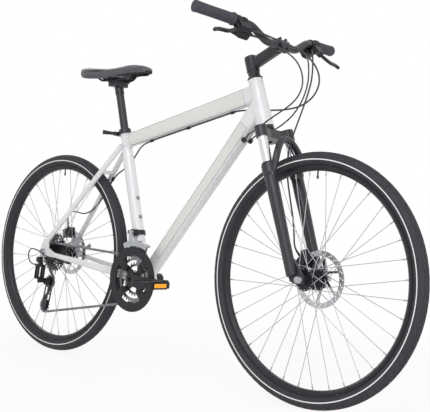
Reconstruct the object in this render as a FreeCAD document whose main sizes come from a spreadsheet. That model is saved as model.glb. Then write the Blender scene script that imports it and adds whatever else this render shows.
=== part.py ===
import FreeCAD, Part

import math
import os

import Sketcher
from FreeCAD import Placement, Rotation, Vector

# Hybrid bicycle with suspension fork, disc brakes and a triple chainset.
# Frame of the part: X forward, Y left, Z up, origin on the ground midway between the wheels.
# All lengths in millimetres, all angles in degrees.

SIZES = {
    # frame geometry
    "wheel_base": 1110.0,
    "chain_stay_length": 455.0,
    "bracket_drop": 58.0,
    "seat_angle": 73.7,
    "head_angle": 71.0,
    "seat_tube_length": 510.0,
    "head_tube_length": 148.0,
    "fork_length": 464.0,
    "fork_offset": 46.0,
    # frame tubes
    "tube_wall": 1.8,
    "seat_tube_radius": 19.0,
    "seat_tube_top_radius": 16.6,
    "seat_collar_length": 62.0,
    "seat_taper_length": 50.0,
    "head_tube_top_radius": 23.0,
    "head_tube_bottom_radius": 26.0,
    "head_tube_bore_radius": 18.0,
    "top_tube_width": 36.0,
    "top_tube_rear_depth": 48.0,
    "top_tube_front_depth": 58.0,
    "top_tube_corner": 15.0,
    "top_tube_rear_drop": 40.0,
    "top_tube_front_drop": 40.0,
    "down_tube_width": 46.0,
    "down_tube_front_depth": 56.0,
    "down_tube_rear_depth": 42.0,
    "down_tube_corner": 17.0,
    "down_tube_front_rise": 66.0,
    "shell_radius": 22.0,
    "shell_width": 68.0,
    "shell_bore_radius": 17.5,
    "stay_width": 17.0,
    "chain_stay_front_depth": 28.0,
    "stay_tip_depth": 17.0,
    "stay_tip_width": 15.0,
    "chain_stay_spread": 24.0,
    "seat_stay_depth": 19.0,
    "seat_stay_spread": 14.0,
    "seat_stay_drop": 52.0,
    "bridge_radius": 7.0,
    "bridge_gap": 14.0,
    "rear_spacing": 135.0,
    "dropout_thickness": 6.0,
    "dropout_radius": 19.0,
    "hanger_back": 10.0,
    "hanger_drop": 29.0,
    # fits
    "running_clearance": 0.1,
    "face_clearance": 0.4,
    # wheels
    "tyre_width": 40.0,
    "tyre_wall": 3.0,
    "rim_edge_radius": 313.5,
    "rim_inner_width": 19.0,
    "rim_outer_width": 24.0,
    "rim_depth": 15.0,
    "rim_shoulder_depth": 8.5,
    "rim_wall": 1.6,
    "bead_depth": 6.0,
    "bead_width": 5.0,
    "bead_clearance": 0.3,
    "spoke_count": 36.0,
    "spoke_crossings": 3.0,
    "spoke_radius": 1.0,
    "nipple_radius": 2.0,
    "nipple_length": 12.0,
    "flange_thickness": 3.0,
    "flange_radius": 31.0,
    "spoke_circle_radius": 27.5,
    "valve_radius": 3.0,
    "valve_length": 22.0,
    "rotor_radius": 80.0,
    "rotor_thickness": 2.0,
    "rotor_track": 15.0,
    "rotor_bolt_circle": 44.0,
    "axle_radius": 5.0,
    "locknut_radius": 9.0,
    "locknut_length": 4.5,
    "front_spacing": 100.0,
    "front_right_flange": 33.0,
    "front_left_flange": 24.0,
    "front_rotor_seat": 37.0,
    "rear_right_flange": 20.0,
    "rear_left_flange": 33.0,
    "rear_rotor_seat": 50.0,
    "hub_core_radius": 15.0,
    # fork
    "crown_offset": 28.0,
    "fork_travel": 63.0,
    "stanchion_spread": 62.0,
    "stanchion_radius": 14.0,
    "stanchion_insertion": 120.0,
    "steerer_radius": 14.3,
    "cup_height": 11.0,
    "crown_height": 36.0,
    "stanchion_spare": 12.0,
    "crown_socket_radius": 18.0,
    "lower_leg_radius": 18.0,
    "lower_foot_radius": 15.5,
    "seal_height": 9.0,
    "arch_forward": 33.0,
    "arch_radius": 10.0,
    "fork_tip_thickness": 9.0,
    # cockpit
    "spacer_height": 16.0,
    "stem_clamp_height": 42.0,
    "stem_clamp_radius": 19.5,
    "stem_length": 114.0,
    "stem_rise_angle": 5.5,
    "stem_arm_radius": 14.5,
    "bar_clamp_width": 42.0,
    "bar_clamp_wall": 5.5,
    "bar_clamp_gap": 2.0,
    "bar_centre_radius": 12.7,
    "bar_radius": 11.1,
    "bar_half_width": 312.0,
    "bar_rise": 50.0,
    "bar_sweep": 48.0,
    "bar_bend_inner": 68.0,
    "bar_bend_outer": 130.0,
    "bar_bend_rise": 33.0,
    "bar_bend_back": 6.0,
    "bar_bend_radius": 60.0,
    "grip_length": 126.0,
    "grip_radius": 16.0,
    "grip_flange_radius": 18.5,
    "lever_reach": 70.0,
    "lever_length": 92.0,
    "lever_droop": 52.0,
    # seat
    "post_radius": 13.6,
    "post_length": 350.0,
    "post_exposed": 158.0,
    "post_mark_rise": 4.0,
    "post_mark_width": 1.0,
    "post_mark_depth": 0.3,
    "post_head_length": 28.0,
    "post_head_wall": 1.6,
    "seat_clamp_height": 16.0,
    "seat_clamp_wall": 4.0,
    "saddle_length": 276.0,
    "saddle_width": 168.0,
    "saddle_height": 46.0,
    "saddle_nose_width": 44.0,
    "saddle_setback": 8.0,
    "rail_radius": 3.5,
    "rail_spread": 22.0,
    # drive train
    "chain_pitch": 12.7,
    "chain_line": 47.5,
    "roller_radius": 3.85,
    "chain_plate_height": 8.4,
    "chain_plate_thickness": 0.9,
    "chain_inner_half_width": 1.1,
    "chain_pin_radius": 1.8,
    "sprocket_thickness": 1.8,
    "ring_spacing": 6.5,
    "outer_ring_teeth": 48.0,
    "middle_ring_teeth": 36.0,
    "inner_ring_teeth": 26.0,
    "cog_spacing": 4.35,
    "driven_cog": 4.0,
    "pulley_teeth": 11.0,
    "freehub_radius": 16.5,
    "guard_radius": 104.0,
    "guard_thickness": 3.0,
    "crank_length": 170.0,
    "crank_angle": 0.0,
    "crank_thickness": 13.0,
    "bolt_circle_outer": 104.0,
    "bolt_circle_inner": 64.0,
    "spindle_radius": 8.5,
    "spindle_length": 124.0,
    "pedal_width": 96.0,
    "pedal_length": 78.0,
    "pedal_height": 24.0,
    "pedal_spindle_radius": 5.0,
    "guide_pulley_forward": 14.0,
    "guide_pulley_drop": 104.0,
    "cage_length": 90.0,
    "cage_gap": 5.2,
    "cage_plate": 2.0,
    "link_forward": 4.0,
    "link_outboard": 11.0,
    "link_drop": 50.0,
    "link_fall": 42.0,
    "link_lean": 4.0,
    "link_spread": 12.0,
    "link_eye_radius": 4.0,
    "link_pin_radius": 1.6,
    "link_cheek": 3.0,
    "lug_width": 9.0,
    # cables
    "hose_radius": 2.5,
    "cable_radius": 2.2,
}
COG_TEETH = (11, 13, 15, 17, 20, 23, 26, 30, 34)

document = FreeCAD.newDocument("hybrid_bicycle")
sheet = document.addObject("Spreadsheet::Sheet", "Sizes")
for row, (alias, number) in enumerate(SIZES.items(), start=1):
    sheet.set(f"A{row}", alias)
    sheet.set(f"B{row}", str(number))
    sheet.setAlias(f"B{row}", alias)
document.recompute()


class Size:
    """A number together with the sheet expression that it comes from."""

    def __init__(self, value, text):
        self.value = float(value)
        self.text = text

    def __float__(self):
        return self.value

    def __add__(self, other):
        return Size(self.value + float(other), f"({self.text} + {written(other)})")

    def __radd__(self, other):
        return Size(float(other) + self.value, f"({written(other)} + {self.text})")

    def __sub__(self, other):
        return Size(self.value - float(other), f"({self.text} - {written(other)})")

    def __rsub__(self, other):
        return Size(float(other) - self.value, f"({written(other)} - {self.text})")

    def __mul__(self, other):
        return Size(self.value * float(other), f"({self.text} * {written(other)})")

    def __rmul__(self, other):
        return Size(float(other) * self.value, f"({written(other)} * {self.text})")

    def __truediv__(self, other):
        return Size(self.value / float(other), f"({self.text} / {written(other)})")

    def __neg__(self):
        return Size(-self.value, f"(-{self.text})")


def written(size):
    """Text of a size, or of a plain number, inside an expression."""
    return size.text if isinstance(size, Size) else repr(float(size))


def root(size):
    """Square root of a size."""
    return Size(math.sqrt(size.value), f"sqrt({size.text})")


class Sheet:
    """Reads the driving sizes by name."""

    def __getattr__(self, alias):
        return Size(sheet.get(alias), f"Sizes.{alias}")


d = Sheet()


def bind(obj, **sizes):
    """Set properties of an object and bind those that come from the sheet."""
    for name, size in sizes.items():
        setattr(obj, name, float(size))
        if isinstance(size, Size):
            obj.setExpression(name, size.text)
    return obj


X_AXIS = Vector(1, 0, 0)
Y_AXIS = Vector(0, 1, 0)
Z_AXIS = Vector(0, 0, 1)


def unit(vector):
    """Copy of a vector with length one."""
    copy = Vector(vector)
    return copy.normalize()


def aimed(at, axis, side=None):
    """Placement at a point, with local Z along an axis and local X towards a side."""
    along = unit(axis)
    if side is None:
        side = X_AXIS if abs(along.x) < 0.9 else Y_AXIS
    across = side - along * side.dot(along)
    across.normalize()
    third = along.cross(across)
    matrix = FreeCAD.Matrix(
        across.x, third.x, along.x, at.x,
        across.y, third.y, along.y, at.y,
        across.z, third.z, along.z, at.z,
        0, 0, 0, 1,
    )
    return Placement(matrix)


def cylinder(radius, length, at, axis, centred=False):
    """Round bar that starts at a point, or is centred on it."""
    obj = bind(document.addObject("Part::Cylinder", "Bar"), Radius=radius, Height=length)
    start = at - unit(axis) * (float(length) / 2) if centred else at
    obj.Placement = aimed(start, axis)
    return obj


def cone(start_radius, end_radius, length, at, axis):
    """Tapered round bar."""
    obj = document.addObject("Part::Cone", "Taper")
    bind(obj, Radius1=start_radius, Radius2=end_radius, Height=length)
    obj.Placement = aimed(at, axis)
    return obj


def block(width, depth, height, at, axis=Z_AXIS, side=X_AXIS):
    """Box centred on a point: width along side, height along axis."""
    obj = document.addObject("Part::Box", "Block")
    bind(obj, Length=width, Width=depth, Height=height)
    frame = aimed(at, axis, side)
    corner = Vector(-float(width) / 2, -float(depth) / 2, -float(height) / 2)
    obj.Placement = frame.multiply(Placement(corner, Rotation()))
    return obj


def fuse(*objects):
    """Union of objects that belong to one piece."""
    obj = document.addObject("Part::MultiFuse", "Union")
    obj.Shapes = list(objects)
    return obj


def group(*objects):
    """Separate solids kept together."""
    obj = document.addObject("Part::Compound", "Group")
    obj.Links = list(objects)
    return obj


def cut(base, *tools):
    """Difference of one object and several tools."""
    for tool in tools:
        obj = document.addObject("Part::Cut", "Difference")
        obj.Base = base
        obj.Tool = tool
        base = obj
    return base


def feature(shape, placement=None):
    """Document object that holds a shape made with Part functions."""
    obj = document.addObject("Part::Feature", "Form")
    obj.Shape = shape
    if placement is not None:
        obj.Placement = placement
    return obj


def origin_plane(body, role):
    """Origin plane of a body."""
    return next(item for item in body.Origin.OriginFeatures if item.Role == role)


def arc_centre(start, end, radius, turn):
    """Centre of the arc under half a turn from start to end, left of it when turn is 1."""
    chord = end - start
    height = math.sqrt(max(radius * radius - chord.Length ** 2 / 4, 0))
    normal = Vector(-chord.y, chord.x, 0).normalize()
    return (start + end) * 0.5 + normal * height * turn


def draw(sketch, corners):
    """Closed outline in a sketch; each corner is x, y and, before an arc, its radius and turn."""
    points = [Vector(float(corner[0]), float(corner[1]), 0) for corner in corners]
    first = sketch.GeometryCount
    count = len(corners)
    ends = []
    for index, corner in enumerate(corners):
        start, end = points[index], points[(index + 1) % count]
        if len(corner) == 2:
            sketch.addGeometry(Part.LineSegment(start, end), False)
            ends.append((1, 2))
            continue
        radius, turn = float(corner[2]), corner[3]
        centre = arc_centre(start, end, radius, turn)
        low, high = (start, end) if turn > 0 else (end, start)
        angle = math.atan2(low.y - centre.y, low.x - centre.x)
        stop = math.atan2(high.y - centre.y, high.x - centre.x)
        if stop < angle:
            stop += 2 * math.pi
        circle = Part.Circle(centre, Z_AXIS, radius)
        sketch.addGeometry(Part.ArcOfCircle(circle, angle, stop), False)
        ends.append((1, 2) if turn > 0 else (2, 1))
    for index in range(count):
        after = (index + 1) % count
        sketch.addConstraint(Sketcher.Constraint(
            "Coincident", first + index, ends[index][1], first + after, ends[after][0]))
    for index, corner in enumerate(corners):
        for kind, size in (("DistanceX", corner[0]), ("DistanceY", corner[1])):
            number = sketch.addConstraint(Sketcher.Constraint(
                kind, -1, 1, first + index, ends[index][0], float(size)))
            if isinstance(size, Size):
                sketch.setExpression(f"Constraints[{number}]", size.text)
        if len(corner) > 2:
            number = sketch.addConstraint(
                Sketcher.Constraint("Radius", first + index, float(corner[2])))
            if isinstance(corner[2], Size):
                sketch.setExpression(f"Constraints[{number}]", corner[2].text)


def circle(sketch, x, y, radius):
    """Round hole or disc in a sketch."""
    index = sketch.addGeometry(
        Part.Circle(Vector(float(x), float(y), 0), Z_AXIS, float(radius)), False)
    for kind, size in (("DistanceX", x), ("DistanceY", y)):
        number = sketch.addConstraint(
            Sketcher.Constraint(kind, -1, 1, index, 3, float(size)))
        if isinstance(size, Size):
            sketch.setExpression(f"Constraints[{number}]", size.text)
    number = sketch.addConstraint(Sketcher.Constraint("Radius", index, float(radius)))
    if isinstance(radius, Size):
        sketch.setExpression(f"Constraints[{number}]", radius.text)


def sketch_in(body, role, height=0.0):
    """Sketch on an origin plane of a body, raised along the normal."""
    sketch = body.newObject("Sketcher::SketchObject", "Profile")
    sketch.AttachmentSupport = [(origin_plane(body, role), "")]
    sketch.MapMode = "FlatFace"
    sketch.AttachmentOffset = Placement(Vector(0, 0, float(height)), Rotation())
    if isinstance(height, Size):
        sketch.setExpression("AttachmentOffset.Base.z", height.text)
    return sketch


def revolved(corners, placement, chamber=()):
    """Turned piece: corners are radius and height, turned about local Z, with a closed chamber."""
    body = document.addObject("PartDesign::Body", "Turned")
    sketch = sketch_in(body, "XZ_Plane")
    draw(sketch, corners)
    if chamber:
        draw(sketch, chamber)
    turn = body.newObject("PartDesign::Revolution", "Revolution")
    turn.Profile = sketch
    turn.ReferenceAxis = (sketch, ["V_Axis"])
    turn.Angle = 360
    body.Placement = placement
    return body


def padded(corners, thickness, placement, holes=(), centred=False):
    """Plate: a closed outline with round holes, padded along local Z."""
    body = document.addObject("PartDesign::Body", "Plate")
    sketch = sketch_in(body, "XY_Plane")
    draw(sketch, corners)
    for hole in holes:
        circle(sketch, *hole)
    pad = body.newObject("PartDesign::Pad", "Pad")
    pad.Profile = sketch
    bind(pad, Length=thickness)
    pad.Midplane = centred
    body.Placement = placement
    return body


def lofted(sections, placement):
    """Tube or moulding through outlines at heights along local Z."""
    body = document.addObject("PartDesign::Body", "Tube")
    sketches = []
    for height, corners in sections:
        sketch = sketch_in(body, "XY_Plane", height)
        draw(sketch, corners)
        sketches.append(sketch)
    loft = body.newObject("PartDesign::AdditiveLoft", "Loft")
    loft.Profile = sketches[0]
    loft.Sections = sketches[1:]
    body.Placement = placement
    return body


def rounded(width, depth, corner, x=0.0, y=0.0):
    """Rectangle with round corners, as an outline."""
    half, deep = width / 2, depth / 2
    flat, tall = half - corner, deep - corner
    return [
        (x + half, y - tall), (x + half, y + tall, corner, 1),
        (x + flat, y + deep), (x - flat, y + deep, corner, 1),
        (x - half, y + tall), (x - half, y - tall, corner, 1),
        (x - flat, y - deep), (x + flat, y - deep, corner, 1),
    ]


def slotted(length, radius, x=0.0, y=0.0):
    """Slot outline with round ends, length between the end centres along x."""
    half = length / 2
    return [
        (x - half, y - radius), (x + half, y - radius, radius, 1),
        (x + half + radius, y + 0.0, radius, 1), (x + half, y + radius),
        (x - half, y + radius, radius, 1), (x - half - radius, y + 0.0, radius, 1),
    ]


def route(points, least=0.0, share=0.45):
    """Straight runs joined by tangent arcs as wide as the runs allow, with the arc radii."""
    edges, radii = [], []
    start = points[0]
    for before, at, after in zip(points, points[1:], points[2:]):
        to_start, to_end = unit(before - at), unit(after - at)
        turn = math.pi - to_start.getAngle(to_end)
        run = min((before - at).Length, (after - at).Length) * share
        radius = run / math.tan(turn / 2)
        if least:
            radius = min(radius, least)
            run = radius * math.tan(turn / 2)
        entry, leave = at + to_start * run, at + to_end * run
        middle = at + unit(to_start + to_end) * (
            math.hypot(run, radius) - radius)
        edges.append(Part.LineSegment(start, entry).toShape())
        edges.append(Part.Arc(entry, middle, leave).toShape())
        radii.append(radius)
        start = leave
    edges.append(Part.LineSegment(start, points[-1]).toShape())
    return Part.Wire(edges), radii


def piped(points, radius, least=0.0):
    """Round rod or hose along a route."""
    wire, radii = route(points, least)
    first = points[1] - points[0]
    ring = Part.Wire(Part.makeCircle(float(radius), points[0], first))
    return feature(wire.makePipeShell([ring], True, True)), wire.Length, radii


nodes = {}


def node(name, *pieces):
    """Name a finished sub-part; several solids are kept together under one name."""
    obj = pieces[0] if len(pieces) == 1 else group(*pieces)
    obj.Label = name
    nodes[name] = obj
    return obj


def mirrored(obj):
    """Copy of an object on the other side of the bicycle."""
    twin = document.addObject("Part::Mirroring", "Twin")
    twin.Source = obj
    twin.Normal = Y_AXIS
    twin.Base = Vector(0, 0, 0)
    return twin


# Main points of the bicycle

tyre_rise = root(d.tyre_width * d.tyre_width / 4 - d.rim_inner_width * d.rim_inner_width / 4)
tyre_centre_radius = d.rim_edge_radius + tyre_rise
wheel_radius = tyre_centre_radius + d.tyre_width / 2

axle_height = float(wheel_radius)
half_base = float(d.wheel_base) / 2
front_axle = Vector(half_base, 0, axle_height)
rear_axle = Vector(-half_base, 0, axle_height)
stay_reach = math.sqrt(float(d.chain_stay_length) ** 2 - float(d.bracket_drop) ** 2)
bracket = rear_axle + Vector(stay_reach, 0, -float(d.bracket_drop))

seat_lean = math.radians(float(d.seat_angle))
seat_way = Vector(-math.cos(seat_lean), 0, math.sin(seat_lean))
seat_front = Vector(math.sin(seat_lean), 0, math.cos(seat_lean))
head_lean = math.radians(float(d.head_angle))
steer_way = Vector(-math.cos(head_lean), 0, math.sin(head_lean))
steer_front = Vector(math.sin(head_lean), 0, math.cos(head_lean))
steer_base = front_axle - steer_front * float(d.fork_offset)


def seat_point(distance, forward=0.0, side=0.0):
    """Point by its distance up the seat tube from the bracket axis."""
    return bracket + seat_way * float(distance) + seat_front * float(forward) + Y_AXIS * float(side)


def steer_point(distance, forward=0.0, side=0.0):
    """Point by its distance up the steering axis from the level of the front axle."""
    along = steer_way * float(distance) + steer_front * float(forward)
    return steer_base + along + Y_AXIS * float(side)


# Frame tubes

seat_blank = revolved([
    (0.0, 0.0), (d.seat_tube_radius, 0.0),
    (d.seat_tube_radius, d.seat_tube_length - d.seat_collar_length - d.seat_taper_length),
    (d.seat_tube_top_radius, d.seat_tube_length - d.seat_collar_length),
    (d.seat_tube_top_radius, d.seat_tube_length), (0.0, d.seat_tube_length),
], aimed(bracket, seat_way, Y_AXIS))
shell_blank = cylinder(d.shell_radius, d.shell_width, bracket, Y_AXIS, centred=True)
head_low = steer_point(d.fork_length)
head_blank = revolved([
    (0.0, 0.0), (d.head_tube_bottom_radius, 0.0),
    (d.head_tube_bottom_radius, d.head_tube_length * 0.2),
    (d.head_tube_top_radius, d.head_tube_length * 0.6),
    (d.head_tube_top_radius, d.head_tube_length), (0.0, d.head_tube_length),
], aimed(head_low, steer_way, Y_AXIS))

node("head_tube", cut(head_blank, cylinder(
    d.head_tube_bore_radius, d.head_tube_length, head_low, steer_way)))

def frame_tube(start, end, sections, *mates):
    """Hollow shaped tube between two points, coped to the tubes that it meets."""
    way = end - start
    frame = aimed(start, way, Y_AXIS)
    outer, inner = [], []
    for share, width, depth, corner in sections:
        place = way.Length * share
        outer.append((place, rounded(width, depth, corner)))
        wall = d.tube_wall * 2
        inner.append((place, rounded(width - wall, depth - wall, corner - d.tube_wall)))
    blank = lofted(outer, frame)
    return blank, cut(blank, lofted(inner, frame), *mates)


top_rear = seat_point(d.seat_tube_length - d.top_tube_rear_drop)
top_front = steer_point(d.fork_length + d.head_tube_length - d.top_tube_front_drop)
top_blank, top_tube = frame_tube(top_rear, top_front, [
    (0.0, d.top_tube_width, d.top_tube_rear_depth, d.top_tube_corner),
    (1.0, d.top_tube_width, d.top_tube_front_depth, d.top_tube_corner),
], head_blank, seat_blank)
node("top_tube", top_tube)

down_front = steer_point(d.fork_length + d.down_tube_front_rise)
down_blank, down_tube = frame_tube(bracket, down_front, [
    (0.0, d.down_tube_width, d.down_tube_rear_depth, d.down_tube_corner),
    (1.0, d.down_tube_width, d.down_tube_front_depth, d.down_tube_corner),
], head_blank, seat_blank, shell_blank, top_blank)
node("down_tube", down_tube)

# Bottle bosses: two flanged inserts in the front of the seat tube
boss_spacing = 64.0
boss_low = 205.0
boss_radius, boss_flange_radius, boss_bore_radius = 4.0, 6.0, 2.5
boss_height, boss_shank = 2.5, 5.0
boss_holes, bosses = [], []
for boss_place in (boss_low, boss_low + boss_spacing):
    centre = seat_point(boss_place)
    boss_holes.append(cylinder(boss_radius, 30.0, centre, seat_front))
    seat = seat_point(boss_place, d.seat_tube_radius)
    insert = fuse(
        cylinder(boss_flange_radius, boss_height, seat, seat_front),
        cylinder(boss_radius, boss_shank,
                 seat_point(boss_place, float(d.seat_tube_radius) - boss_shank), seat_front))
    drill = cylinder(boss_bore_radius, 30.0, seat_point(boss_place, 8.0), seat_front)
    bosses.append(cut(insert, drill))

post_bore = d.post_radius + d.running_clearance
post_depth = d.post_length - d.post_exposed + 20.0
seat_bores = fuse(
    cylinder(post_bore, d.seat_tube_length, bracket, seat_way),
    cylinder(d.seat_tube_radius - d.tube_wall,
             d.seat_tube_length - post_depth, bracket, seat_way))
shell_bore = cylinder(d.shell_bore_radius, d.shell_width, bracket, Y_AXIS, centred=True)
node("seat_tube", cut(fuse(cut(seat_blank, seat_bores, *boss_holes), shell_blank), shell_bore))

# Rear triangle
half_rear = float(d.rear_spacing) / 2
stay_tip_side = half_rear - 1.0


def stay(start, end, front_depth, *mates):
    """Tapered solid stay on the left side."""
    way = end - start
    return cut(lofted([
        (0.0, rounded(d.stay_width, front_depth, d.stay_width * 0.45)),
        (way.Length, rounded(d.stay_tip_width, d.stay_tip_depth, d.stay_tip_width * 0.45)),
    ], aimed(start, way, Y_AXIS)), *mates)


chain_stay_start = bracket + Vector(-10.0, float(d.chain_stay_spread), 2.0)
chain_stay_end = rear_axle + Vector(44.0, stay_tip_side, -8.0)
seat_stay_start = seat_point(
    float(d.seat_tube_length) - float(d.seat_stay_drop), -12.0, d.seat_stay_spread)
seat_stay_end = rear_axle + Vector(10.0, stay_tip_side, 40.0)

plate_frame = aimed(Vector(rear_axle.x, half_rear, rear_axle.z), Y_AXIS, X_AXIS)
hanger_x, hanger_y = -d.hanger_back, d.hanger_drop
slot = d.axle_radius + d.running_clearance
drop_arc = d.dropout_radius
hanger_arc = 11.0
left_plate = padded([
    (drop_arc, 14.0), (56.0, 17.0), (56.0, -1.0), (24.0, -14.0), (22.0, -44.0),
    (4.0, -50.0), (-14.0, -72.0), (-24.0, -66.0), (-16.0, -36.0),
    (-drop_arc, 0.0), (-12.0, 15.0), (-slot, drop_arc), (-slot, 0.0, slot, 1),
    (0.0, -slot, slot, 1), (slot, 0.0), (slot, drop_arc),
], d.dropout_thickness, plate_frame)
right_plate_frame = aimed(
    Vector(rear_axle.x, -half_rear - float(d.dropout_thickness), rear_axle.z), Y_AXIS, X_AXIS)
right_plate = padded([
    (drop_arc, 14.0), (56.0, 17.0), (56.0, -1.0), (24.0, -14.0), (22.0, -44.0),
    (4.0, -50.0), (-14.0, -24.0), (-drop_arc, 0.0), (hanger_x - hanger_arc, hanger_y, hanger_arc, -1),
    (hanger_x, hanger_y + hanger_arc, hanger_arc, -1), (hanger_x + hanger_arc, hanger_y),
    (-slot, drop_arc), (-slot, 0.0, slot, 1), (0.0, -slot, slot, 1), (slot, 0.0),
    (slot, drop_arc),
], d.dropout_thickness, right_plate_frame, holes=[(hanger_x, hanger_y, 5.0)])

left_chain_stay = stay(chain_stay_start, chain_stay_end, d.chain_stay_front_depth, shell_blank,
                       seat_blank)
left_rear = fuse(left_chain_stay, left_plate)
right_rear = fuse(mirrored(left_chain_stay), right_plate)
node("chain_stays", left_rear, right_rear)

tip_room = block(80.0, 80.0, d.stay_width, seat_stay_end + Y_AXIS * (
    half_rear - seat_stay_end.y + float(d.stay_width) / 2), Y_AXIS, X_AXIS)
left_seat_stay = stay(
    seat_stay_start, seat_stay_end, d.seat_stay_depth, seat_blank, top_blank, tip_room)
right_seat_stay = mirrored(left_seat_stay)
seat_stay_way = seat_stay_end - seat_stay_start
bridge_place = seat_stay_start
bridge_room = axle_height + float(d.bridge_gap) + float(d.bridge_radius)
share = 0.0
while math.hypot(seat_stay_start.x + seat_stay_way.x * share - rear_axle.x,
                 seat_stay_start.z + seat_stay_way.z * share - rear_axle.z) > bridge_room:
    share += 0.005
bridge_place = seat_stay_start + seat_stay_way * share
bridge = cut(cylinder(d.bridge_radius, bridge_place.y * 2, Vector(bridge_place.x, 0, bridge_place.z),
                      Y_AXIS, centred=True), left_seat_stay, right_seat_stay)
node("seat_stays", left_seat_stay, right_seat_stay, bridge)

# Bearings: headset cups and bottom bracket cartridge
steer_bore = d.steerer_radius + d.running_clearance
lower_cup = cut(
    cylinder(d.head_tube_bottom_radius - 1.0, d.cup_height,
             steer_point(d.fork_length - d.cup_height), steer_way),
    cylinder(steer_bore, d.cup_height, steer_point(d.fork_length - d.cup_height), steer_way))
head_top = d.fork_length + d.head_tube_length
upper_cup = cut(
    fuse(cylinder(d.head_tube_top_radius, d.cup_height * 0.5, steer_point(head_top), steer_way),
         cone(d.head_tube_top_radius, d.head_tube_top_radius - 4.0, d.cup_height * 0.5,
              steer_point(head_top + d.cup_height * 0.5), steer_way)),
    cylinder(steer_bore, d.cup_height, steer_point(head_top), steer_way))
spindle_bore = d.spindle_radius + d.running_clearance
cup_flange = 2.5
cartridge = cut(
    fuse(cylinder(d.shell_bore_radius, d.shell_width, bracket, Y_AXIS, centred=True),
         cylinder(d.shell_radius - 1.5, cup_flange,
                  bracket + Y_AXIS * (float(d.shell_width) / 2), Y_AXIS),
         cylinder(d.shell_radius - 1.5, cup_flange,
                  bracket - Y_AXIS * (float(d.shell_width) / 2), -Y_AXIS)),
    cylinder(spindle_bore, d.shell_width + 2 * cup_flange, bracket, Y_AXIS, centred=True))
node("bearing_cups", lower_cup, upper_cup, cartridge)

# Wheels: tyre, rim with valve, laced spokes, hub and rotor about a local Z that points left
bead_half = d.rim_inner_width / 2
bead_floor = d.rim_edge_radius - d.bead_depth
casing = d.tyre_width / 2
lining = casing - d.tyre_wall
lining_edge = tyre_centre_radius - lining * math.cos(math.radians(35))
lining_half = lining * math.sin(math.radians(35))
rim_bed = d.rim_edge_radius - d.rim_depth
side_half = d.rim_outer_width / 2
rim_shoulder = d.rim_edge_radius - d.rim_shoulder_depth
hook_half = bead_half + d.bead_clearance
lacing_turn = -math.pi / float(d.spoke_count)


def tyre(centre):
    """Tyre casing with its two beads."""
    return revolved([
        (d.rim_edge_radius, -bead_half, casing, 1), (wheel_radius, 0.0, casing, 1),
        (d.rim_edge_radius, bead_half), (bead_floor, bead_half),
        (bead_floor, bead_half - d.bead_width), (lining_edge, lining_half, lining, -1),
        (tyre_centre_radius + lining, 0.0, lining, -1), (lining_edge, -lining_half),
        (bead_floor, d.bead_width - bead_half), (bead_floor, -bead_half),
    ], aimed(centre, Y_AXIS))


def rim(centre):
    """Double-wall rim with hooked sides, and the valve that comes out at the top."""
    ring = revolved([
        (d.rim_edge_radius, hook_half), (d.rim_edge_radius, side_half),
        (rim_shoulder, side_half),
        (rim_bed, side_half * 0.45), (rim_bed, -side_half * 0.45),
        (rim_shoulder, -side_half),
        (d.rim_edge_radius, -side_half), (d.rim_edge_radius, -hook_half),
        (bead_floor, -hook_half), (bead_floor, hook_half),
    ], aimed(centre, Y_AXIS), chamber=[
        (bead_floor - d.rim_wall, side_half - d.rim_wall), (rim_shoulder, side_half - d.rim_wall),
        (rim_bed + d.rim_wall, side_half * 0.45 - d.rim_wall * 0.5),
        (rim_bed + d.rim_wall, d.rim_wall * 0.5 - side_half * 0.45),
        (rim_shoulder, d.rim_wall - side_half), (bead_floor - d.rim_wall, d.rim_wall - side_half),
    ])
    foot = centre + Z_AXIS * (float(rim_bed) - float(d.valve_length))
    reach = d.valve_length - d.bead_clearance
    valve = fuse(cylinder(d.valve_radius * 0.75, reach, foot, Z_AXIS),
                 cylinder(d.valve_radius, reach * 0.4, foot, Z_AXIS))
    return ring, valve


def spoke(start_angle, lean, side, flange, inside):
    """One spoke with its head in the flange, its elbow, and its nipple in the rim."""
    sweep = lean * 2 * math.pi * float(d.spoke_crossings) / (float(d.spoke_count) / 2)
    radius = float(d.spoke_circle_radius)
    half = float(d.flange_thickness) / 2
    offset = half + float(d.spoke_radius) + 0.6
    layer = flange + (-offset if inside else offset) * side
    far = flange + (half + 0.2 if inside else -half - 0.2) * side
    hole = Vector(math.cos(start_angle) * radius, math.sin(start_angle) * radius, 0)
    hub_end = hole + Z_AXIS * layer
    angle = start_angle + sweep
    seat = float(rim_bed)
    rim_end = Vector(math.cos(angle) * seat, math.sin(angle) * seat, 1.5 * side)
    way = rim_end - hub_end
    thin = float(d.spoke_radius)
    wire = Part.makeCylinder(thin, way.Length - 1.0, hub_end, way)
    nut_start = rim_end - unit(way) * (float(d.nipple_length) + 1.0)
    nut = Part.makeCylinder(float(d.nipple_radius), float(d.nipple_length), nut_start, way)
    elbow = Part.makeSphere(thin, hub_end)
    stub_way = Z_AXIS * (far - layer)
    stub = Part.makeCylinder(thin, abs(far - layer), hub_end, stub_way)
    head = Part.makeCylinder(thin * 1.8, 1.0, hole + Z_AXIS * far, stub_way)
    return wire.multiFuse([nut, elbow, stub, head])


def laced(right_flange, left_flange):
    """All the spokes of a wheel: both sides, leaning both ways."""
    spokes = []
    per_side = int(float(d.spoke_count)) // 2
    step = 2 * math.pi / per_side
    for side, flange, phase in ((1, left_flange, 0.0), (-1, -right_flange, 0.5)):
        for lean, inside, shift in ((1, True, 0), (-1, False, 1)):
            first = spoke(lacing_turn + phase * step + shift * step, lean, side, flange, inside)
            for turn in range(per_side // 2):
                twin = first.copy()
                twin.rotate(Vector(0, 0, 0), Z_AXIS, math.degrees(turn * 2 * step))
                spokes.append(twin)
    return Part.makeCompound(spokes)


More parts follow.
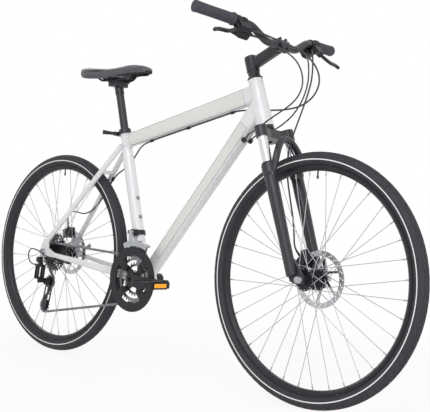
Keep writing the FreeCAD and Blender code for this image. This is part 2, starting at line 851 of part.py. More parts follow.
def spoke_holes(right_flange, left_flange):
    """Drillings in both flanges for the spoke heads."""
    drills = []
    per_side = int(float(d.spoke_count)) // 2
    for flange, phase in ((left_flange, 0.0), (-right_flange, 0.5)):
        for hole in range(per_side):
            angle = lacing_turn + 2 * math.pi * (hole + phase) / per_side
            radius = float(d.spoke_circle_radius)
            at = Vector(math.cos(angle) * radius, math.sin(angle) * radius, flange - 5.0)
            drills.append(Part.makeCylinder(float(d.spoke_radius) + 0.3, 10.0, at, Z_AXIS))
    return Part.makeCompound(drills)


def hub(centre, right_end, right_flange, left_flange, rotor_seat, left_end):
    """Hub shell with two drilled flanges and the rotor seat on the left."""
    half = d.flange_thickness / 2
    bore = d.axle_radius + d.running_clearance
    core, neck = d.hub_core_radius, d.hub_core_radius - 3.0
    shell = revolved([
        (bore, -right_end), (neck, -right_end), (neck + 2.0, -right_flange - half),
        (d.flange_radius, -right_flange - half), (d.flange_radius, -right_flange + half),
        (core + 4.0, -right_flange + half), (core, -right_flange + half + 6.0),
        (core, left_flange - half - 6.0), (core + 4.0, left_flange - half),
        (d.flange_radius, left_flange - half), (d.flange_radius, left_flange + half),
        (core + 2.0, left_flange + half), (core + 2.0, rotor_seat - 4.0),
        (d.rotor_bolt_circle / 2 + 4.0, rotor_seat - 4.0),
        (d.rotor_bolt_circle / 2 + 4.0, rotor_seat),
        (neck, rotor_seat), (neck, left_end), (bore, left_end),
    ], aimed(centre, Y_AXIS))
    drills = feature(spoke_holes(float(right_flange), float(left_flange)), aimed(centre, Y_AXIS))
    return cut(shell, drills)


def rotor(centre, seat):
    """Disc rotor: braking track with slots, slanted arms and a bolted centre."""
    outer, track = float(d.rotor_radius), float(d.rotor_track)
    inner = outer - track
    thick = float(d.rotor_thickness)
    bolt_radius = float(d.rotor_bolt_circle) / 2
    core = float(d.hub_core_radius) - 3.0 + float(d.running_clearance)
    ring = Part.makeCylinder(outer, thick).cut(Part.makeCylinder(inner, thick))
    centre_plate = Part.makeCylinder(bolt_radius + 6.0, thick)
    arm_count = 6
    arms = []
    for index in range(arm_count):
        start = 2 * math.pi * index / arm_count
        end = start + math.radians(38)
        foot = Vector(math.cos(start), math.sin(start), 0) * bolt_radius
        tip = Vector(math.cos(end), math.sin(end), 0) * (inner + track * 0.4)
        way = tip - foot
        arm = Part.makeBox(way.Length, 7.0, thick, Vector(0, -3.5, 0))
        arm.Placement = aimed(foot, Z_AXIS, way)
        arms.append(arm)
    plate = ring.multiFuse([centre_plate] + arms)
    holes = [Part.makeCylinder(core, thick)]
    slot_count = 24
    for index in range(slot_count):
        angle = 2 * math.pi * (index + 0.5) / slot_count
        for reach in (0.32, 0.68):
            at = Vector(math.cos(angle), math.sin(angle), 0) * (inner + track * reach)
            holes.append(Part.makeCylinder(2.2, thick, at))
            angle += math.radians(4)
    plate = plate.cut(Part.makeCompound(holes))
    frame = aimed(centre + Y_AXIS * float(seat), Y_AXIS)
    bolts = []
    for index in range(arm_count):
        angle = 2 * math.pi * index / arm_count
        at = Vector(math.cos(angle), math.sin(angle), 0) * bolt_radius + Z_AXIS * thick
        bolts.append(Part.makeCylinder(4.0, 1.6, at))
    return feature(Part.makeCompound([plate] + bolts), frame)


gap = d.face_clearance
front_half = d.front_spacing / 2
rear_half = d.rear_spacing / 2
freehub_end = rear_half - d.locknut_length
freehub_start = d.rear_right_flange + 5.0

node("front_tyre", tyre(front_axle))
node("front_rim", *rim(front_axle))
node("front_spokes", feature(laced(float(d.front_right_flange), float(d.front_left_flange)),
                             aimed(front_axle, Y_AXIS)))
hub_end = front_half - d.locknut_length - gap
node("front_hub", hub(front_axle, hub_end, d.front_right_flange, d.front_left_flange,
                      d.front_rotor_seat, hub_end))
node("front_rotor", rotor(front_axle, d.front_rotor_seat))

node("rear_tyre", tyre(rear_axle))
node("rear_rim", *rim(rear_axle))
node("rear_spokes", feature(laced(float(d.rear_right_flange), float(d.rear_left_flange)),
                            aimed(rear_axle, Y_AXIS)))
node("rear_hub", hub(rear_axle, freehub_start - gap, d.rear_right_flange, d.rear_left_flange,
                     d.rear_rotor_seat, rear_half - d.locknut_length - gap))
node("rear_rotor", rotor(rear_axle, d.rear_rotor_seat))


skewer_nut, skewer_seat, cam_radius = 11.0, 9.0, 8.0


def axle(centre, half, plate):
    """Hub axle with locknuts inside the frame ends, skewer nut on the right, cam seat on the left."""
    outside = half + plate
    bar = cylinder(d.axle_radius, outside * 2 - 2.0, centre, Y_AXIS, centred=True)
    skewer = cylinder(d.axle_radius * 0.5, outside * 2, centre, Y_AXIS, centred=True)
    parts = [bar, skewer]
    for side in (1, -1):
        inner_face = centre + Y_AXIS * (side * float(half - d.locknut_length))
        parts.append(cylinder(d.locknut_radius, d.locknut_length, inner_face, Y_AXIS * side))
    parts.append(cone(d.locknut_radius + 2.0, d.locknut_radius, skewer_nut,
                      centre - Y_AXIS * float(outside), -Y_AXIS))
    parts.append(cylinder(d.locknut_radius + 1.0, skewer_seat,
                          centre + Y_AXIS * float(outside), Y_AXIS))
    return fuse(*parts)


def skewer_lever(seat, outward, way):
    """Quick-release lever: a round cam over its seat and a blade that lies beside the frame."""
    centre = seat + outward * (cam_radius + float(gap))
    hinge = outward.cross(way)
    cam = cylinder(cam_radius, 14.0, centre, hinge, centred=True)
    blade = lofted([
        (0.0, rounded(10.0, 9.0, 4.0)), (30.0, rounded(12.0, 7.0, 3.0)),
        (60.0, rounded(15.0, 6.0, 2.5)),
    ], aimed(centre + outward * 1.0, way + outward * 0.06, hinge))
    return fuse(cam, blade)


rear_outside = half_rear + float(d.dropout_thickness)
front_outside = float(d.front_spacing) / 2 + float(d.fork_tip_thickness)
node("rear_axle", axle(rear_axle, rear_half, d.dropout_thickness))
node("front_axle", axle(front_axle, front_half, d.fork_tip_thickness))
node("rear_skewer_lever", skewer_lever(
    rear_axle + Y_AXIS * (rear_outside + skewer_seat), Y_AXIS, unit(Vector(0.8, 0, 0.45))))
node("front_skewer_lever", skewer_lever(
    front_axle + Y_AXIS * (front_outside + skewer_seat), Y_AXIS, unit(Vector(-0.35, 0, 0.94))))

# Fork: crown with steerer, stanchions, and the sliding lowers with arch and seals
crown_top = d.fork_length - d.cup_height - gap
crown_low = crown_top - d.crown_height
leg_top = crown_low - d.fork_travel - d.stanchion_spare
steerer_top = head_top + d.cup_height + gap + d.spacer_height + d.stem_clamp_height
spread = float(d.stanchion_spread)
crown_frame = aimed(steer_point(crown_low), steer_way, steer_front)
socket = d.crown_socket_radius
crown_plate = padded([
    (-16.0, -18.0), (-16.0, 18.0), (d.crown_offset - socket * 0.75, d.stanchion_spread - 3.0),
    (d.crown_offset, d.stanchion_spread + 6.0),
    (d.crown_offset + socket * 0.75, d.stanchion_spread - 3.0), (d.crown_offset + 5.0, 24.0),
    (d.crown_offset + 5.0, -24.0),
    (d.crown_offset + socket * 0.75, 3.0 - d.stanchion_spread),
    (d.crown_offset, -d.stanchion_spread - 6.0),
    (d.crown_offset - socket * 0.75, 3.0 - d.stanchion_spread),
], d.crown_height * 0.75, crown_frame)
crown_parts = [
    crown_plate,
    cylinder(d.steerer_radius + 8.0, d.crown_height, steer_point(crown_low), steer_way),
    cylinder(d.steerer_radius, steerer_top - crown_low, steer_point(crown_low), steer_way),
]
sockets, stanchions = [], []
for side in (1, -1):
    at = steer_point(crown_low, d.crown_offset, side * spread)
    crown_parts.append(cylinder(socket, d.crown_height * 0.9, at, steer_way))
    foot = steer_point(leg_top - d.stanchion_insertion, d.crown_offset, side * spread)
    rise = crown_low + d.crown_height * 0.9 - leg_top + d.stanchion_insertion
    sockets.append(cylinder(d.stanchion_radius, rise, foot, steer_way))
    stanchions.append(cylinder(d.stanchion_radius, rise, foot, steer_way))
crown_core = cylinder(d.steerer_radius - 2.2, steerer_top - crown_low - 10.0,
                      steer_point(crown_low - 5.0), steer_way)
node("fork_crown", cut(fuse(*crown_parts), crown_core, *sockets))
node("stanchions", *[cut(tube, cylinder(d.stanchion_radius - 2.0, rise, tube.Placement.Base, steer_way))
                     for tube in stanchions])

leg_foot = 14.0
slide_bore = d.stanchion_radius + d.running_clearance
lower_parts, slide_bores, seals = [], [], []
for side in (1, -1):
    foot = steer_point(leg_foot, d.crown_offset, side * spread)
    height = leg_top - leg_foot - d.seal_height
    leg = revolved([
        (0.0, 0.0), (d.lower_foot_radius - 3.0, 0.0), (d.lower_foot_radius, 4.0),
        (d.lower_foot_radius, height * 0.3), (d.lower_leg_radius, height * 0.75),
        (d.lower_leg_radius, height - 34.0), (d.lower_leg_radius + 3.0, height - 24.0),
        (d.lower_leg_radius + 3.0, height), (0.0, height),
    ], aimed(foot, steer_way, Y_AXIS))
    tip_frame = aimed(front_axle + Y_AXIS * (side * float(front_half)), Y_AXIS * side,
                      -steer_front if side > 0 else steer_front)
    flip = 1.0 if side > 0 else -1.0
    tip_back = (d.fork_offset - d.crown_offset) * flip
    tip_slot = d.axle_radius + d.running_clearance
    tip = padded([
        (-15.0 * flip, 4.0), (-12.0 * flip, 12.0), (tip_back - 13.0 * flip, 60.0),
        (tip_back + 13.0 * flip, 60.0), (tip_back + 14.0 * flip, 4.0), (8.0 * flip, -14.0),
        (tip_slot * flip, -15.0), (tip_slot * flip, 0.0, tip_slot, side), (0.0, tip_slot, tip_slot, side),
        (-tip_slot * flip, 0.0),
        (-tip_slot * flip, -15.0), (-9.0 * flip, -13.0),
    ], d.fork_tip_thickness, tip_frame)
    lower_parts += [leg, tip]
    depth = d.stanchion_insertion + d.fork_travel + 6.0
    slide_bores.append(cylinder(
        slide_bore, depth, steer_point(leg_top - depth, d.crown_offset, side * spread), steer_way))
    seat = steer_point(leg_top - d.seal_height, d.crown_offset, side * spread)
    seals.append(cut(fuse(cylinder(d.lower_leg_radius + 1.0, d.seal_height * 0.6, seat, steer_way),
                          cone(d.lower_leg_radius + 1.0, d.stanchion_radius + 1.5,
                               d.seal_height * 0.4, steer_point(
                                   leg_top - d.seal_height * 0.4, d.crown_offset, side * spread),
                               steer_way)),
                     cylinder(slide_bore, d.seal_height, seat, steer_way)))
arch_front = float(d.crown_offset) + float(d.arch_forward)
arch_foot, arch_knee, arch_top = float(leg_top) - 34.0, float(leg_top) + 8.0, float(leg_top) + 62.0
arch_path = []
for side in (-1, 1):
    limb = [
        steer_point(arch_foot, float(d.crown_offset) + 9.0, side * spread),
        steer_point(arch_knee, arch_front - 3.0, side * (spread - 4.0)),
        steer_point(arch_top - 22.0, arch_front, side * (spread - 23.0)),
        steer_point(arch_top, arch_front, side * 15.0),
    ]
    arch_path += limb if side < 0 else limb[::-1]
arch_tube, _, _ = piped(arch_path, d.arch_radius)
arch = cut(arch_tube, *[
    cylinder(d.lower_leg_radius + 1.0, d.seal_height + 30.0,
             steer_point(leg_top - d.seal_height, d.crown_offset, side * spread), steer_way) for side in (1, -1)])
caliper_inner, caliper_outer = 28.0, 46.0
caliper_boss = steer_point(70.0, float(d.crown_offset) - 22.0, (caliper_outer + spread) / 2)
lower_parts.append(block(spread - caliper_outer, 18.0, 52.0, caliper_boss, steer_way, Y_AXIS))
node("fork_lowers", cut(fuse(arch, *lower_parts), *slide_bores), *seals)

# Cockpit: spacers, stem, faceplate, handlebar, grips
spacer_low = head_top + d.cup_height + gap
stem_low = spacer_low + d.spacer_height
spacer = cut(cylinder(d.steerer_radius + 3.5, d.spacer_height, steer_point(spacer_low), steer_way),
             cylinder(d.steerer_radius, d.spacer_height, steer_point(spacer_low), steer_way))
cap_height = 7.0
top_cap = fuse(cylinder(d.stem_clamp_radius - 1.0, cap_height - 3.0, steer_point(steerer_top), steer_way),
               cone(d.stem_clamp_radius - 1.0, d.stem_clamp_radius - 6.0, 3.0,
                    steer_point(steerer_top + cap_height - 3.0), steer_way))
stem_root = steer_point(stem_low + d.stem_clamp_height / 2)
stem_tilt = math.radians(90.0 - float(d.head_angle) + float(d.stem_rise_angle))
stem_way = Vector(math.cos(stem_tilt), 0, math.sin(stem_tilt))
stem_up = Vector(-math.sin(stem_tilt), 0, math.cos(stem_tilt))
bar_centre = stem_root + stem_way * float(d.stem_length)
clamp_outer = d.bar_centre_radius + d.bar_clamp_wall
stem_solid = fuse(
    cylinder(d.stem_clamp_radius, d.stem_clamp_height, steer_point(stem_low), steer_way),
    lofted([
        (0.0, rounded(d.stem_arm_radius * 2, d.stem_clamp_height * 0.86, 12.0)),
        (d.stem_length - clamp_outer + 4.0, rounded(d.stem_arm_radius * 2.2, clamp_outer * 1.7, 10.0)),
    ], aimed(stem_root, stem_way, Y_AXIS)),
    cylinder(clamp_outer, d.bar_clamp_width, bar_centre, Y_AXIS, centred=True))
clamp_room = clamp_outer * 2 + 8.0
split = d.bar_clamp_gap / 2
front_half_space = block(clamp_room, d.bar_clamp_width + 8.0, clamp_room, bar_centre + stem_way * (
    float(clamp_room) / 2 - float(split)), stem_up, stem_way)
back_half_space = block(clamp_room, d.bar_clamp_width + 8.0, clamp_room, bar_centre - stem_way * (
    float(clamp_room) / 2 - float(split)), stem_up, stem_way)
bar_hole = cylinder(d.bar_centre_radius, d.bar_clamp_width + 8.0, bar_centre, Y_AXIS, centred=True)
steer_hole = cylinder(d.steerer_radius, d.stem_clamp_height + 8.0, steer_point(stem_low - 4.0), steer_way)
node("stem", cut(stem_solid, front_half_space, bar_hole, steer_hole))
faceplate = cut(
    cylinder(clamp_outer, d.bar_clamp_width, bar_centre, Y_AXIS, centred=True),
    back_half_space, bar_hole)
bolts = []
for side in (1, -1):
    for rise in (1, -1):
        level = float(d.bar_centre_radius) + float(d.bar_clamp_wall) * 0.4
        at = bar_centre + Y_AXIS * (side * (float(d.bar_clamp_width) / 2 - 8.0)) + stem_up * (rise * level)
        bolts.append(cylinder(4.0, 15.0, at + stem_way * float(split), stem_way))
node("stem_hardware", cut(fuse(faceplate, *bolts), bar_hole), spacer, top_cap)


def bar_point(side, reach, back, rise):
    """Point of the handlebar, on the left for side 1."""
    return bar_centre + Vector(-float(back), side * float(reach), float(rise))


bar_ends = {}
bar_path = []
for side in (-1, 1):
    half_path = [
        bar_point(side, d.bar_half_width, d.bar_sweep, d.bar_rise),
        bar_point(side, d.bar_bend_outer, d.bar_bend_back, d.bar_bend_rise),
        bar_point(side, d.bar_bend_inner, 0.0, 0.0),
    ]
    bar_ends[side] = half_path[0], unit(half_path[1] - half_path[0])
    bar_path += half_path if side < 0 else half_path[::-1]
bar_tube, _, _ = piped(bar_path, d.bar_radius, float(d.bar_bend_radius))
bulge = revolved([
    (0.0, -d.bar_bend_inner * 0.7), (d.bar_radius, -d.bar_bend_inner * 0.7),
    (d.bar_centre_radius, -d.bar_clamp_width * 0.6), (d.bar_centre_radius, d.bar_clamp_width * 0.6),
    (d.bar_radius, d.bar_bend_inner * 0.7), (0.0, d.bar_bend_inner * 0.7),
], aimed(bar_centre, Y_AXIS))
bar_solid = fuse(bar_tube, bulge)
node("handlebar", bar_solid)
cap = 5.0
grips = []
for side in (-1, 1):
    end, inward = bar_ends[side]
    grips.append(revolved([
        (0.0, -cap), (d.grip_radius - 1.0, -cap), (d.grip_radius + 1.0, -cap + 2.0),
        (d.grip_radius, 4.0), (d.grip_radius, d.grip_length - 8.0),
        (d.grip_flange_radius, d.grip_length - 5.0), (d.grip_flange_radius, d.grip_length),
        (d.bar_radius, d.grip_length), (d.bar_radius, 0.0), (0.0, 0.0),
    ], aimed(end, inward)))
node("grips", *grips)

# Seat: clamp collar with lever, post, rails, shell and padded cover
seat_top = d.seat_tube_length
collar_low = seat_top - d.seat_clamp_height + 2.0
collar_outer = d.seat_tube_top_radius + d.seat_clamp_wall
lug_length = 14.0
lug_at = seat_point(float(seat_top) - float(d.seat_clamp_height) / 2 + 2.0, -float(collar_outer) - 3.0)
collar = cut(
    fuse(cylinder(collar_outer, d.seat_clamp_height, seat_point(collar_low), seat_way),
         block(d.seat_clamp_height - 3.0, lug_length, 22.0, lug_at, Y_AXIS, seat_way)),
    cylinder(d.seat_tube_top_radius, d.seat_clamp_height - 2.0, seat_point(collar_low), seat_way),
    cylinder(d.post_radius + d.running_clearance, 40.0, seat_point(collar_low - 10.0), seat_way),
    block(40.0, 30.0, 2.0, lug_at - seat_front * 8.0, Y_AXIS, seat_way))
node("seat_clamp", collar)
node("seat_clamp_lever", skewer_lever(
    lug_at - seat_front * 2.0 - Y_AXIS * 11.0, -Y_AXIS, unit(seat_way * 0.42 - seat_front)))

post_low = seat_top + d.post_exposed - d.post_length
post_top = seat_top + d.post_exposed
mark_place = seat_top + d.post_mark_rise
mark = cut(cylinder(d.post_radius + 2.0, d.post_mark_width, seat_point(mark_place), seat_way),
           cylinder(d.post_radius - d.post_mark_depth, d.post_mark_width, seat_point(mark_place), seat_way))
post = cut(cylinder(d.post_radius, d.post_length, seat_point(post_low), seat_way),
           cylinder(d.post_radius - 2.4, d.post_length - 22.0, seat_point(post_low - 2.0), seat_way), mark)
post_head = cylinder(d.post_radius + d.post_head_wall, d.post_head_length,
                     seat_point(post_top - d.post_head_length), seat_way)
rail_level = seat_point(post_top).z + 20.0
head_at = Vector(seat_point(post_top).x - 4.0, 0, rail_level)
cradle_low = block(40.0, d.rail_spread * 2 + 10.0, 20.0, head_at - Z_AXIS * 12.0)
cradle_high = block(34.0, d.rail_spread * 2 + 10.0, 7.0, head_at + Z_AXIS * 4.5)
seat_bolt = cylinder(4.0, 34.0, head_at - Z_AXIS * 25.0, Z_AXIS)
rails = []
saddle_top = rail_level + 50.0
saddle_back = head_at.x - 122.0 - float(d.saddle_setback)
saddle_tip = saddle_back + float(d.saddle_length)
for side in (1, -1):
    spread_at = side * float(d.rail_spread)
    nose = Vector(saddle_tip - 48.0, side * 9.0, rail_level + 25.0)
    path = [
        Vector(saddle_back + 34.0, side * 34.0, rail_level + 25.0),
        Vector(saddle_back + 70.0, spread_at, rail_level),
        Vector(saddle_back + 178.0, spread_at, rail_level),
        nose,
    ]
    rails.append(piped(path, d.rail_radius, 34.0)[0])
node("seat_post", cut(fuse(post, post_head, cradle_low, cradle_high, seat_bolt), *rails))


def saddle_loft(inset):
    """Saddle body through stations from tail to nose, drawn in by an inset."""
    stations = (
        # share of length, share of width, rise of the top, depth
        (0.0, 0.60, 2.0, 0.62), (0.10, 0.92, 3.0, 0.86), (0.24, 1.0, 0.0, 1.0),
        (0.42, 0.74, -5.0, 0.94), (0.60, 0.42, -6.0, 0.86), (0.80, 0.29, -4.0, 0.80),
        (0.95, 0.25, -6.0, 0.72), (1.0, 0.13, -11.0, 0.45),
    )
    rings = []
    for along, wide, rise, deep in stations:
        half = float(d.saddle_width) / 2 * wide - inset
        top = saddle_top + rise - inset
        drop = float(d.saddle_height) * deep + inset * 2
        x = saddle_back + inset + (float(d.saddle_length) - 2 * inset) * along
        points = [
            (half * 0.72, top - drop), (half * 0.98, top - drop * 0.62), (half * 0.82, top - drop * 0.2),
            (0.0, top),
        ]
        outline = [Vector(x, a, b) for a, b in points]
        outline += [Vector(x, -a, b) for a, b in points[-2::-1]]
        crown = Part.BSplineCurve()
        crown.interpolate(outline)
        rings.append(Part.Wire([crown.toShape(), Part.LineSegment(outline[-1], outline[0]).toShape()]))
    return Part.makeLoft(rings, True, False)


shell_wall = 4.0
cushion = saddle_loft(0.0)
seam_level = saddle_top - float(d.saddle_height) * 0.5
below_seam = Part.makeBox(400.0, 300.0, 100.0, Vector(saddle_back - 60.0, -150.0, seam_level - 100.0))
node("saddle_cover", feature(cushion.cut(below_seam)))
below_lid = below_seam.translated(Z_AXIS * -shell_wall)
hollow = saddle_loft(shell_wall).common(below_lid)
saddle_shell = feature(cushion.common(below_seam).cut(hollow))
node("saddle_base", cut(saddle_shell, *rails), *rails)

# Drive train: chain path over middle ring, driven cog and two derailleur pulleys
pitch = float(d.chain_pitch)
chain_side = -float(d.chain_line)


def pitch_radius(teeth):
    """Radius on which the rollers lie on a sprocket."""
    return pitch / (2 * math.sin(math.pi / teeth))


def tangent(first, second):
    """Contact points of the straight run from one directed circle to the next."""
    (x1, z1, r1), (x2, z2, r2) = first, second
    dx, dz = x2 - x1, z2 - z1
    way = math.atan2(dz, dx) - math.asin((r2 - r1) / math.hypot(dx, dz))
    nx, nz = -math.sin(way), math.cos(way)
    return (x1 - nx * r1, z1 - nz * r1), (x2 - nx * r2, z2 - nz * r2)


guide = rear_axle + Vector(float(d.guide_pulley_forward), chain_side, -float(d.guide_pulley_drop))
driven_teeth = COG_TEETH[int(float(d.driven_cog)) - 1]
middle_teeth = int(float(d.middle_ring_teeth))
pulley_teeth = int(float(d.pulley_teeth))


def chain_spans(cage_angle):
    """Arcs and straight runs of the chain, each with its number of links."""
    tension = guide + Vector(math.sin(cage_angle), 0, -math.cos(cage_angle)) * float(d.cage_length)
    wheels = [
        (bracket, middle_teeth, 1), (rear_axle, driven_teeth, 1),
        (guide, pulley_teeth, -1), (tension, pulley_teeth, 1),
    ]
    circles = [(at.x, at.z, turn * pitch_radius(teeth)) for at, teeth, turn in wheels]
    runs = [tangent(circles[i], circles[(i + 1) % 4]) for i in range(4)]
    spans = []
    for index, (at, teeth, turn) in enumerate(wheels):
        arrive, leave = runs[index - 1][1], runs[index][0]
        start = math.atan2(arrive[1] - at.z, arrive[0] - at.x)
        stop = math.atan2(leave[1] - at.z, leave[0] - at.x)
        angle = (stop - start) * turn % (2 * math.pi)
        spans.append(("arc", at, pitch_radius(teeth), start, turn, angle, angle * teeth / (2 * math.pi)))
        run_start, run_end = runs[index]
        length = math.hypot(run_end[0] - run_start[0], run_end[1] - run_start[1])
        spans.append(("run", run_start, run_end, length / pitch))
    return tension, wheels, spans


def link_total(cage_angle):
    return sum(span[-1] for span in chain_spans(cage_angle)[2])


# The cage swings until the chain is a whole, even number of links
cage_low, cage_high = math.radians(-35), math.radians(25)
cage_nominal = math.radians(-9)
link_count = 2 * round(link_total(cage_nominal) / 2)
for _ in range(60):
    cage_angle = (cage_low + cage_high) / 2
    if (link_total(cage_angle) < link_count) == (link_total(cage_low) < link_total(cage_high)):
        cage_low = cage_angle
    else:
        cage_high = cage_angle
tension, wheels, spans = chain_spans(cage_angle)
print("chain links", link_count, "total", link_total(cage_angle), "cage", math.degrees(cage_angle))

rollers, tooth_phase = [], {}
position, span_start = 0.0, 0.0
for span in spans:
    share = span[-1]
    while position < span_start + share - 1e-9 and len(rollers) < link_count:
        inside = (position - span_start) / share
        if span[0] == "arc":
            _, at, radius, start, turn, angle, _ = span
            here = start + turn * angle * inside
            rollers.append(Vector(at.x + radius * math.cos(here), chain_side, at.z + radius * math.sin(here)))
            tooth_phase.setdefault((round(at.x, 3), round(at.z, 3)), here)
        else:
            _, run_start, run_end, _ = span
            rollers.append(Vector(run_start[0] + (run_end[0] - run_start[0]) * inside, chain_side,
                                  run_start[1] + (run_end[1] - run_start[1]) * inside))
        position += 1.0
    span_start += share


def link_plate(low, high):
    """Oval side plate of a link between two heights across the chain."""
    half = float(d.chain_plate_height) / 2
    waist = half * 0.8
    points = [Vector(0, half, low), Vector(-half, 0, low), Vector(0, -half, low)]
    far = [Vector(pitch, -half, low), Vector(pitch + half, 0, low), Vector(pitch, half, low)]
    middle = Vector(pitch / 2, -waist, low), Vector(pitch / 2, waist, low)
    wire = Part.Wire([
        Part.Arc(*points).toShape(), Part.Arc(points[2], middle[0], far[0]).toShape(),
        Part.Arc(*far).toShape(), Part.Arc(far[2], middle[1], points[0]).toShape(),
    ])
    return Part.Face(wire).extrude(Z_AXIS * (high - low))


plate = float(d.chain_plate_thickness)
inner_face = float(d.chain_inner_half_width)
outer_face = inner_face + plate + 0.1
pin_radius = float(d.chain_pin_radius)


def inner_link():
    """Two inner plates with their bored rollers."""
    ends = (Vector(0, 0, -inner_face), Vector(pitch, 0, -inner_face))
    solid = link_plate(inner_face, inner_face + plate).multiFuse(
        [link_plate(-inner_face - plate, -inner_face)]
        + [Part.makeCylinder(float(d.roller_radius), 2 * inner_face, end) for end in ends])
    bores = [Part.makeCylinder(pin_radius + 0.1, 8.0, Vector(end.x, 0, -4.0)) for end in ends]
    return solid.cut(Part.makeCompound(bores))


def outer_link():
    """Two outer plates with their pins."""
    length = outer_face + plate + 0.15
    pins = [Part.makeCylinder(pin_radius, 2 * length, Vector(x, 0, -length)) for x in (0, pitch)]
    return link_plate(outer_face, outer_face + plate).multiFuse(
        [link_plate(-outer_face - plate, -outer_face)] + pins)


links = []
shapes = inner_link(), outer_link()
for index in range(link_count):
    here, after = rollers[index], rollers[(index + 1) % link_count]
    link = shapes[index % 2].copy()
    way = after - here
    slack = (way.Length - pitch) / 2
    link.Placement = aimed(here + unit(way) * slack, Y_AXIS, way)
    links.append(link)
node("chain", feature(Part.makeCompound(links)))


def toothed(teeth, phase, thickness):
    """Toothed disc about local Z; a roller seat lies at the phase angle."""
    radius = pitch_radius(teeth)
    seat = float(d.roller_radius) + 0.2
    tip = radius + 2.9
    tip_half = 0.9 / tip
    step = 2 * math.pi / teeth
    edges, last, first = [], None, None

    def at(angle, reach, centre):
        return Vector(centre.x + reach * math.cos(angle), centre.y + reach * math.sin(angle), 0)

    for index in range(teeth):
        angle = phase + index * step
        centre = Vector(radius * math.cos(angle), radius * math.sin(angle), 0)
        start = at(angle - math.radians(115), seat, centre)
        middle = at(angle + math.pi, seat, centre)
        end = at(angle + math.radians(115), seat, centre)
        if last is None:
            first = start
        else:
            edges.append(Part.LineSegment(last, start).toShape())
        rise = at(angle + step / 2 - tip_half, tip, Vector(0, 0, 0))
        fall = at(angle + step / 2 + tip_half, tip, Vector(0, 0, 0))
        edges.append(Part.Arc(start, middle, end).toShape())
        edges.append(Part.LineSegment(end, rise).toShape())
        edges.append(Part.LineSegment(rise, fall).toShape())
        last = fall
    edges.append(Part.LineSegment(last, first).toShape())
    return Part.Face(Part.Wire(edges)).extrude(Z_AXIS * thickness)


def phase_at(point):
    """Roller angle on a sprocket, in a frame whose local y points down."""
    return -tooth_phase[(round(point.x, 3), round(point.z, 3))]


def sprocket_frame(centre, side, thickness):
    """Placement of a disc with its middle at a side."""
    return aimed(Vector(centre.x, side - thickness / 2, centre.z), Y_AXIS, X_AXIS)


# Cassette: freehub sleeve, nine cogs and lockring
cog_thick = float(d.sprocket_thickness)
cogs = []
sleeve_bore = float(d.axle_radius + d.running_clearance)
sleeve_radius = float(d.freehub_radius)
for index, teeth in enumerate(COG_TEETH):
    side = chain_side + (index + 1 - int(float(d.driven_cog))) * float(d.cog_spacing)
    phase = phase_at(rear_axle) if teeth == driven_teeth else 0.0
    disc = toothed(teeth, phase, cog_thick).cut(Part.makeCylinder(sleeve_radius, cog_thick))
    window_reach = (pitch_radius(teeth) - 7.0 + sleeve_radius + 5.0) / 2
    window = (pitch_radius(teeth) - 7.0 - sleeve_radius - 5.0) / 2
    if window > 4.0:
        count = 6
        disc = disc.cut(Part.makeCompound([
            Part.makeCylinder(window, cog_thick, Vector(
                window_reach * math.cos(2 * math.pi * k / count),
                window_reach * math.sin(2 * math.pi * k / count), 0))
            for k in range(count)]))
    disc.Placement = sprocket_frame(rear_axle, side, cog_thick)
    cogs.append(disc)
    spacer_start = side + cog_thick / 2
    if index < len(COG_TEETH) - 1:
        length = float(d.cog_spacing) - cog_thick
        ring = Part.makeCylinder(sleeve_radius + 3.0, length).cut(Part.makeCylinder(sleeve_radius, length))
        ring.Placement = aimed(Vector(rear_axle.x, spacer_start, rear_axle.z), Y_AXIS, X_AXIS)
        cogs.append(ring)
sleeve_end = -float(freehub_end) + float(gap)
sleeve_length = -float(freehub_start) - sleeve_end
sleeve = Part.makeCylinder(sleeve_radius, sleeve_length).cut(Part.makeCylinder(sleeve_bore, sleeve_length))
sleeve.Placement = aimed(Vector(rear_axle.x, sleeve_end, rear_axle.z), Y_AXIS, X_AXIS)
node("cassette", feature(Part.makeCompound(cogs + [sleeve])))

# Chainset: spindle, right arm with spider, left arm, three rings and guard
ring_sides = {
    "inner": chain_side + float(d.ring_spacing),
    "middle": chain_side,
    "outer": chain_side - float(d.ring_spacing),
}
bolt_outer = float(d.bolt_circle_outer) / 2
bolt_inner = float(d.bolt_circle_inner) / 2
arm_angles = [math.radians(45 + 90 * k) for k in range(4)]


def ring(teeth, side, bolt_circle, bore, phase):
    """Chainring: toothed rim with four bolted tabs."""
    blank = toothed(teeth, phase, cog_thick)
    opening = Part.makeCylinder(bore, cog_thick)
    tabs = [Part.makeCylinder(8.0, cog_thick, Vector(
        math.cos(a) * bolt_circle, math.sin(a) * bolt_circle, 0)) for a in arm_angles]
    bridges = []
    for a in arm_angles:
        bar = Part.makeBox(bore + 3.0 - bolt_circle, 14.0, cog_thick, Vector(0, -7.0, 0))
        bar.Placement = aimed(Vector(math.cos(a), math.sin(a), 0) * bolt_circle, Z_AXIS,
                              Vector(math.cos(a), math.sin(a), 0))
        bridges.append(bar)
    holes = [Part.makeCylinder(4.0, cog_thick, Vector(
        math.cos(a) * bolt_circle, math.sin(a) * bolt_circle, 0)) for a in arm_angles]
    plate_shape = blank.cut(opening).multiFuse(tabs + bridges).cut(Part.makeCompound(holes))
    plate_shape.Placement = sprocket_frame(bracket, side, cog_thick)
    return plate_shape


rings = [
    ring(int(float(d.outer_ring_teeth)), ring_sides["outer"], bolt_outer, 78.0, 0.0),
    ring(middle_teeth, ring_sides["middle"], bolt_outer, 61.0, phase_at(bracket)),
    ring(int(float(d.inner_ring_teeth)), ring_sides["inner"], bolt_inner, 42.0, 0.0),
]
node("chainrings", feature(Part.makeCompound(rings)))

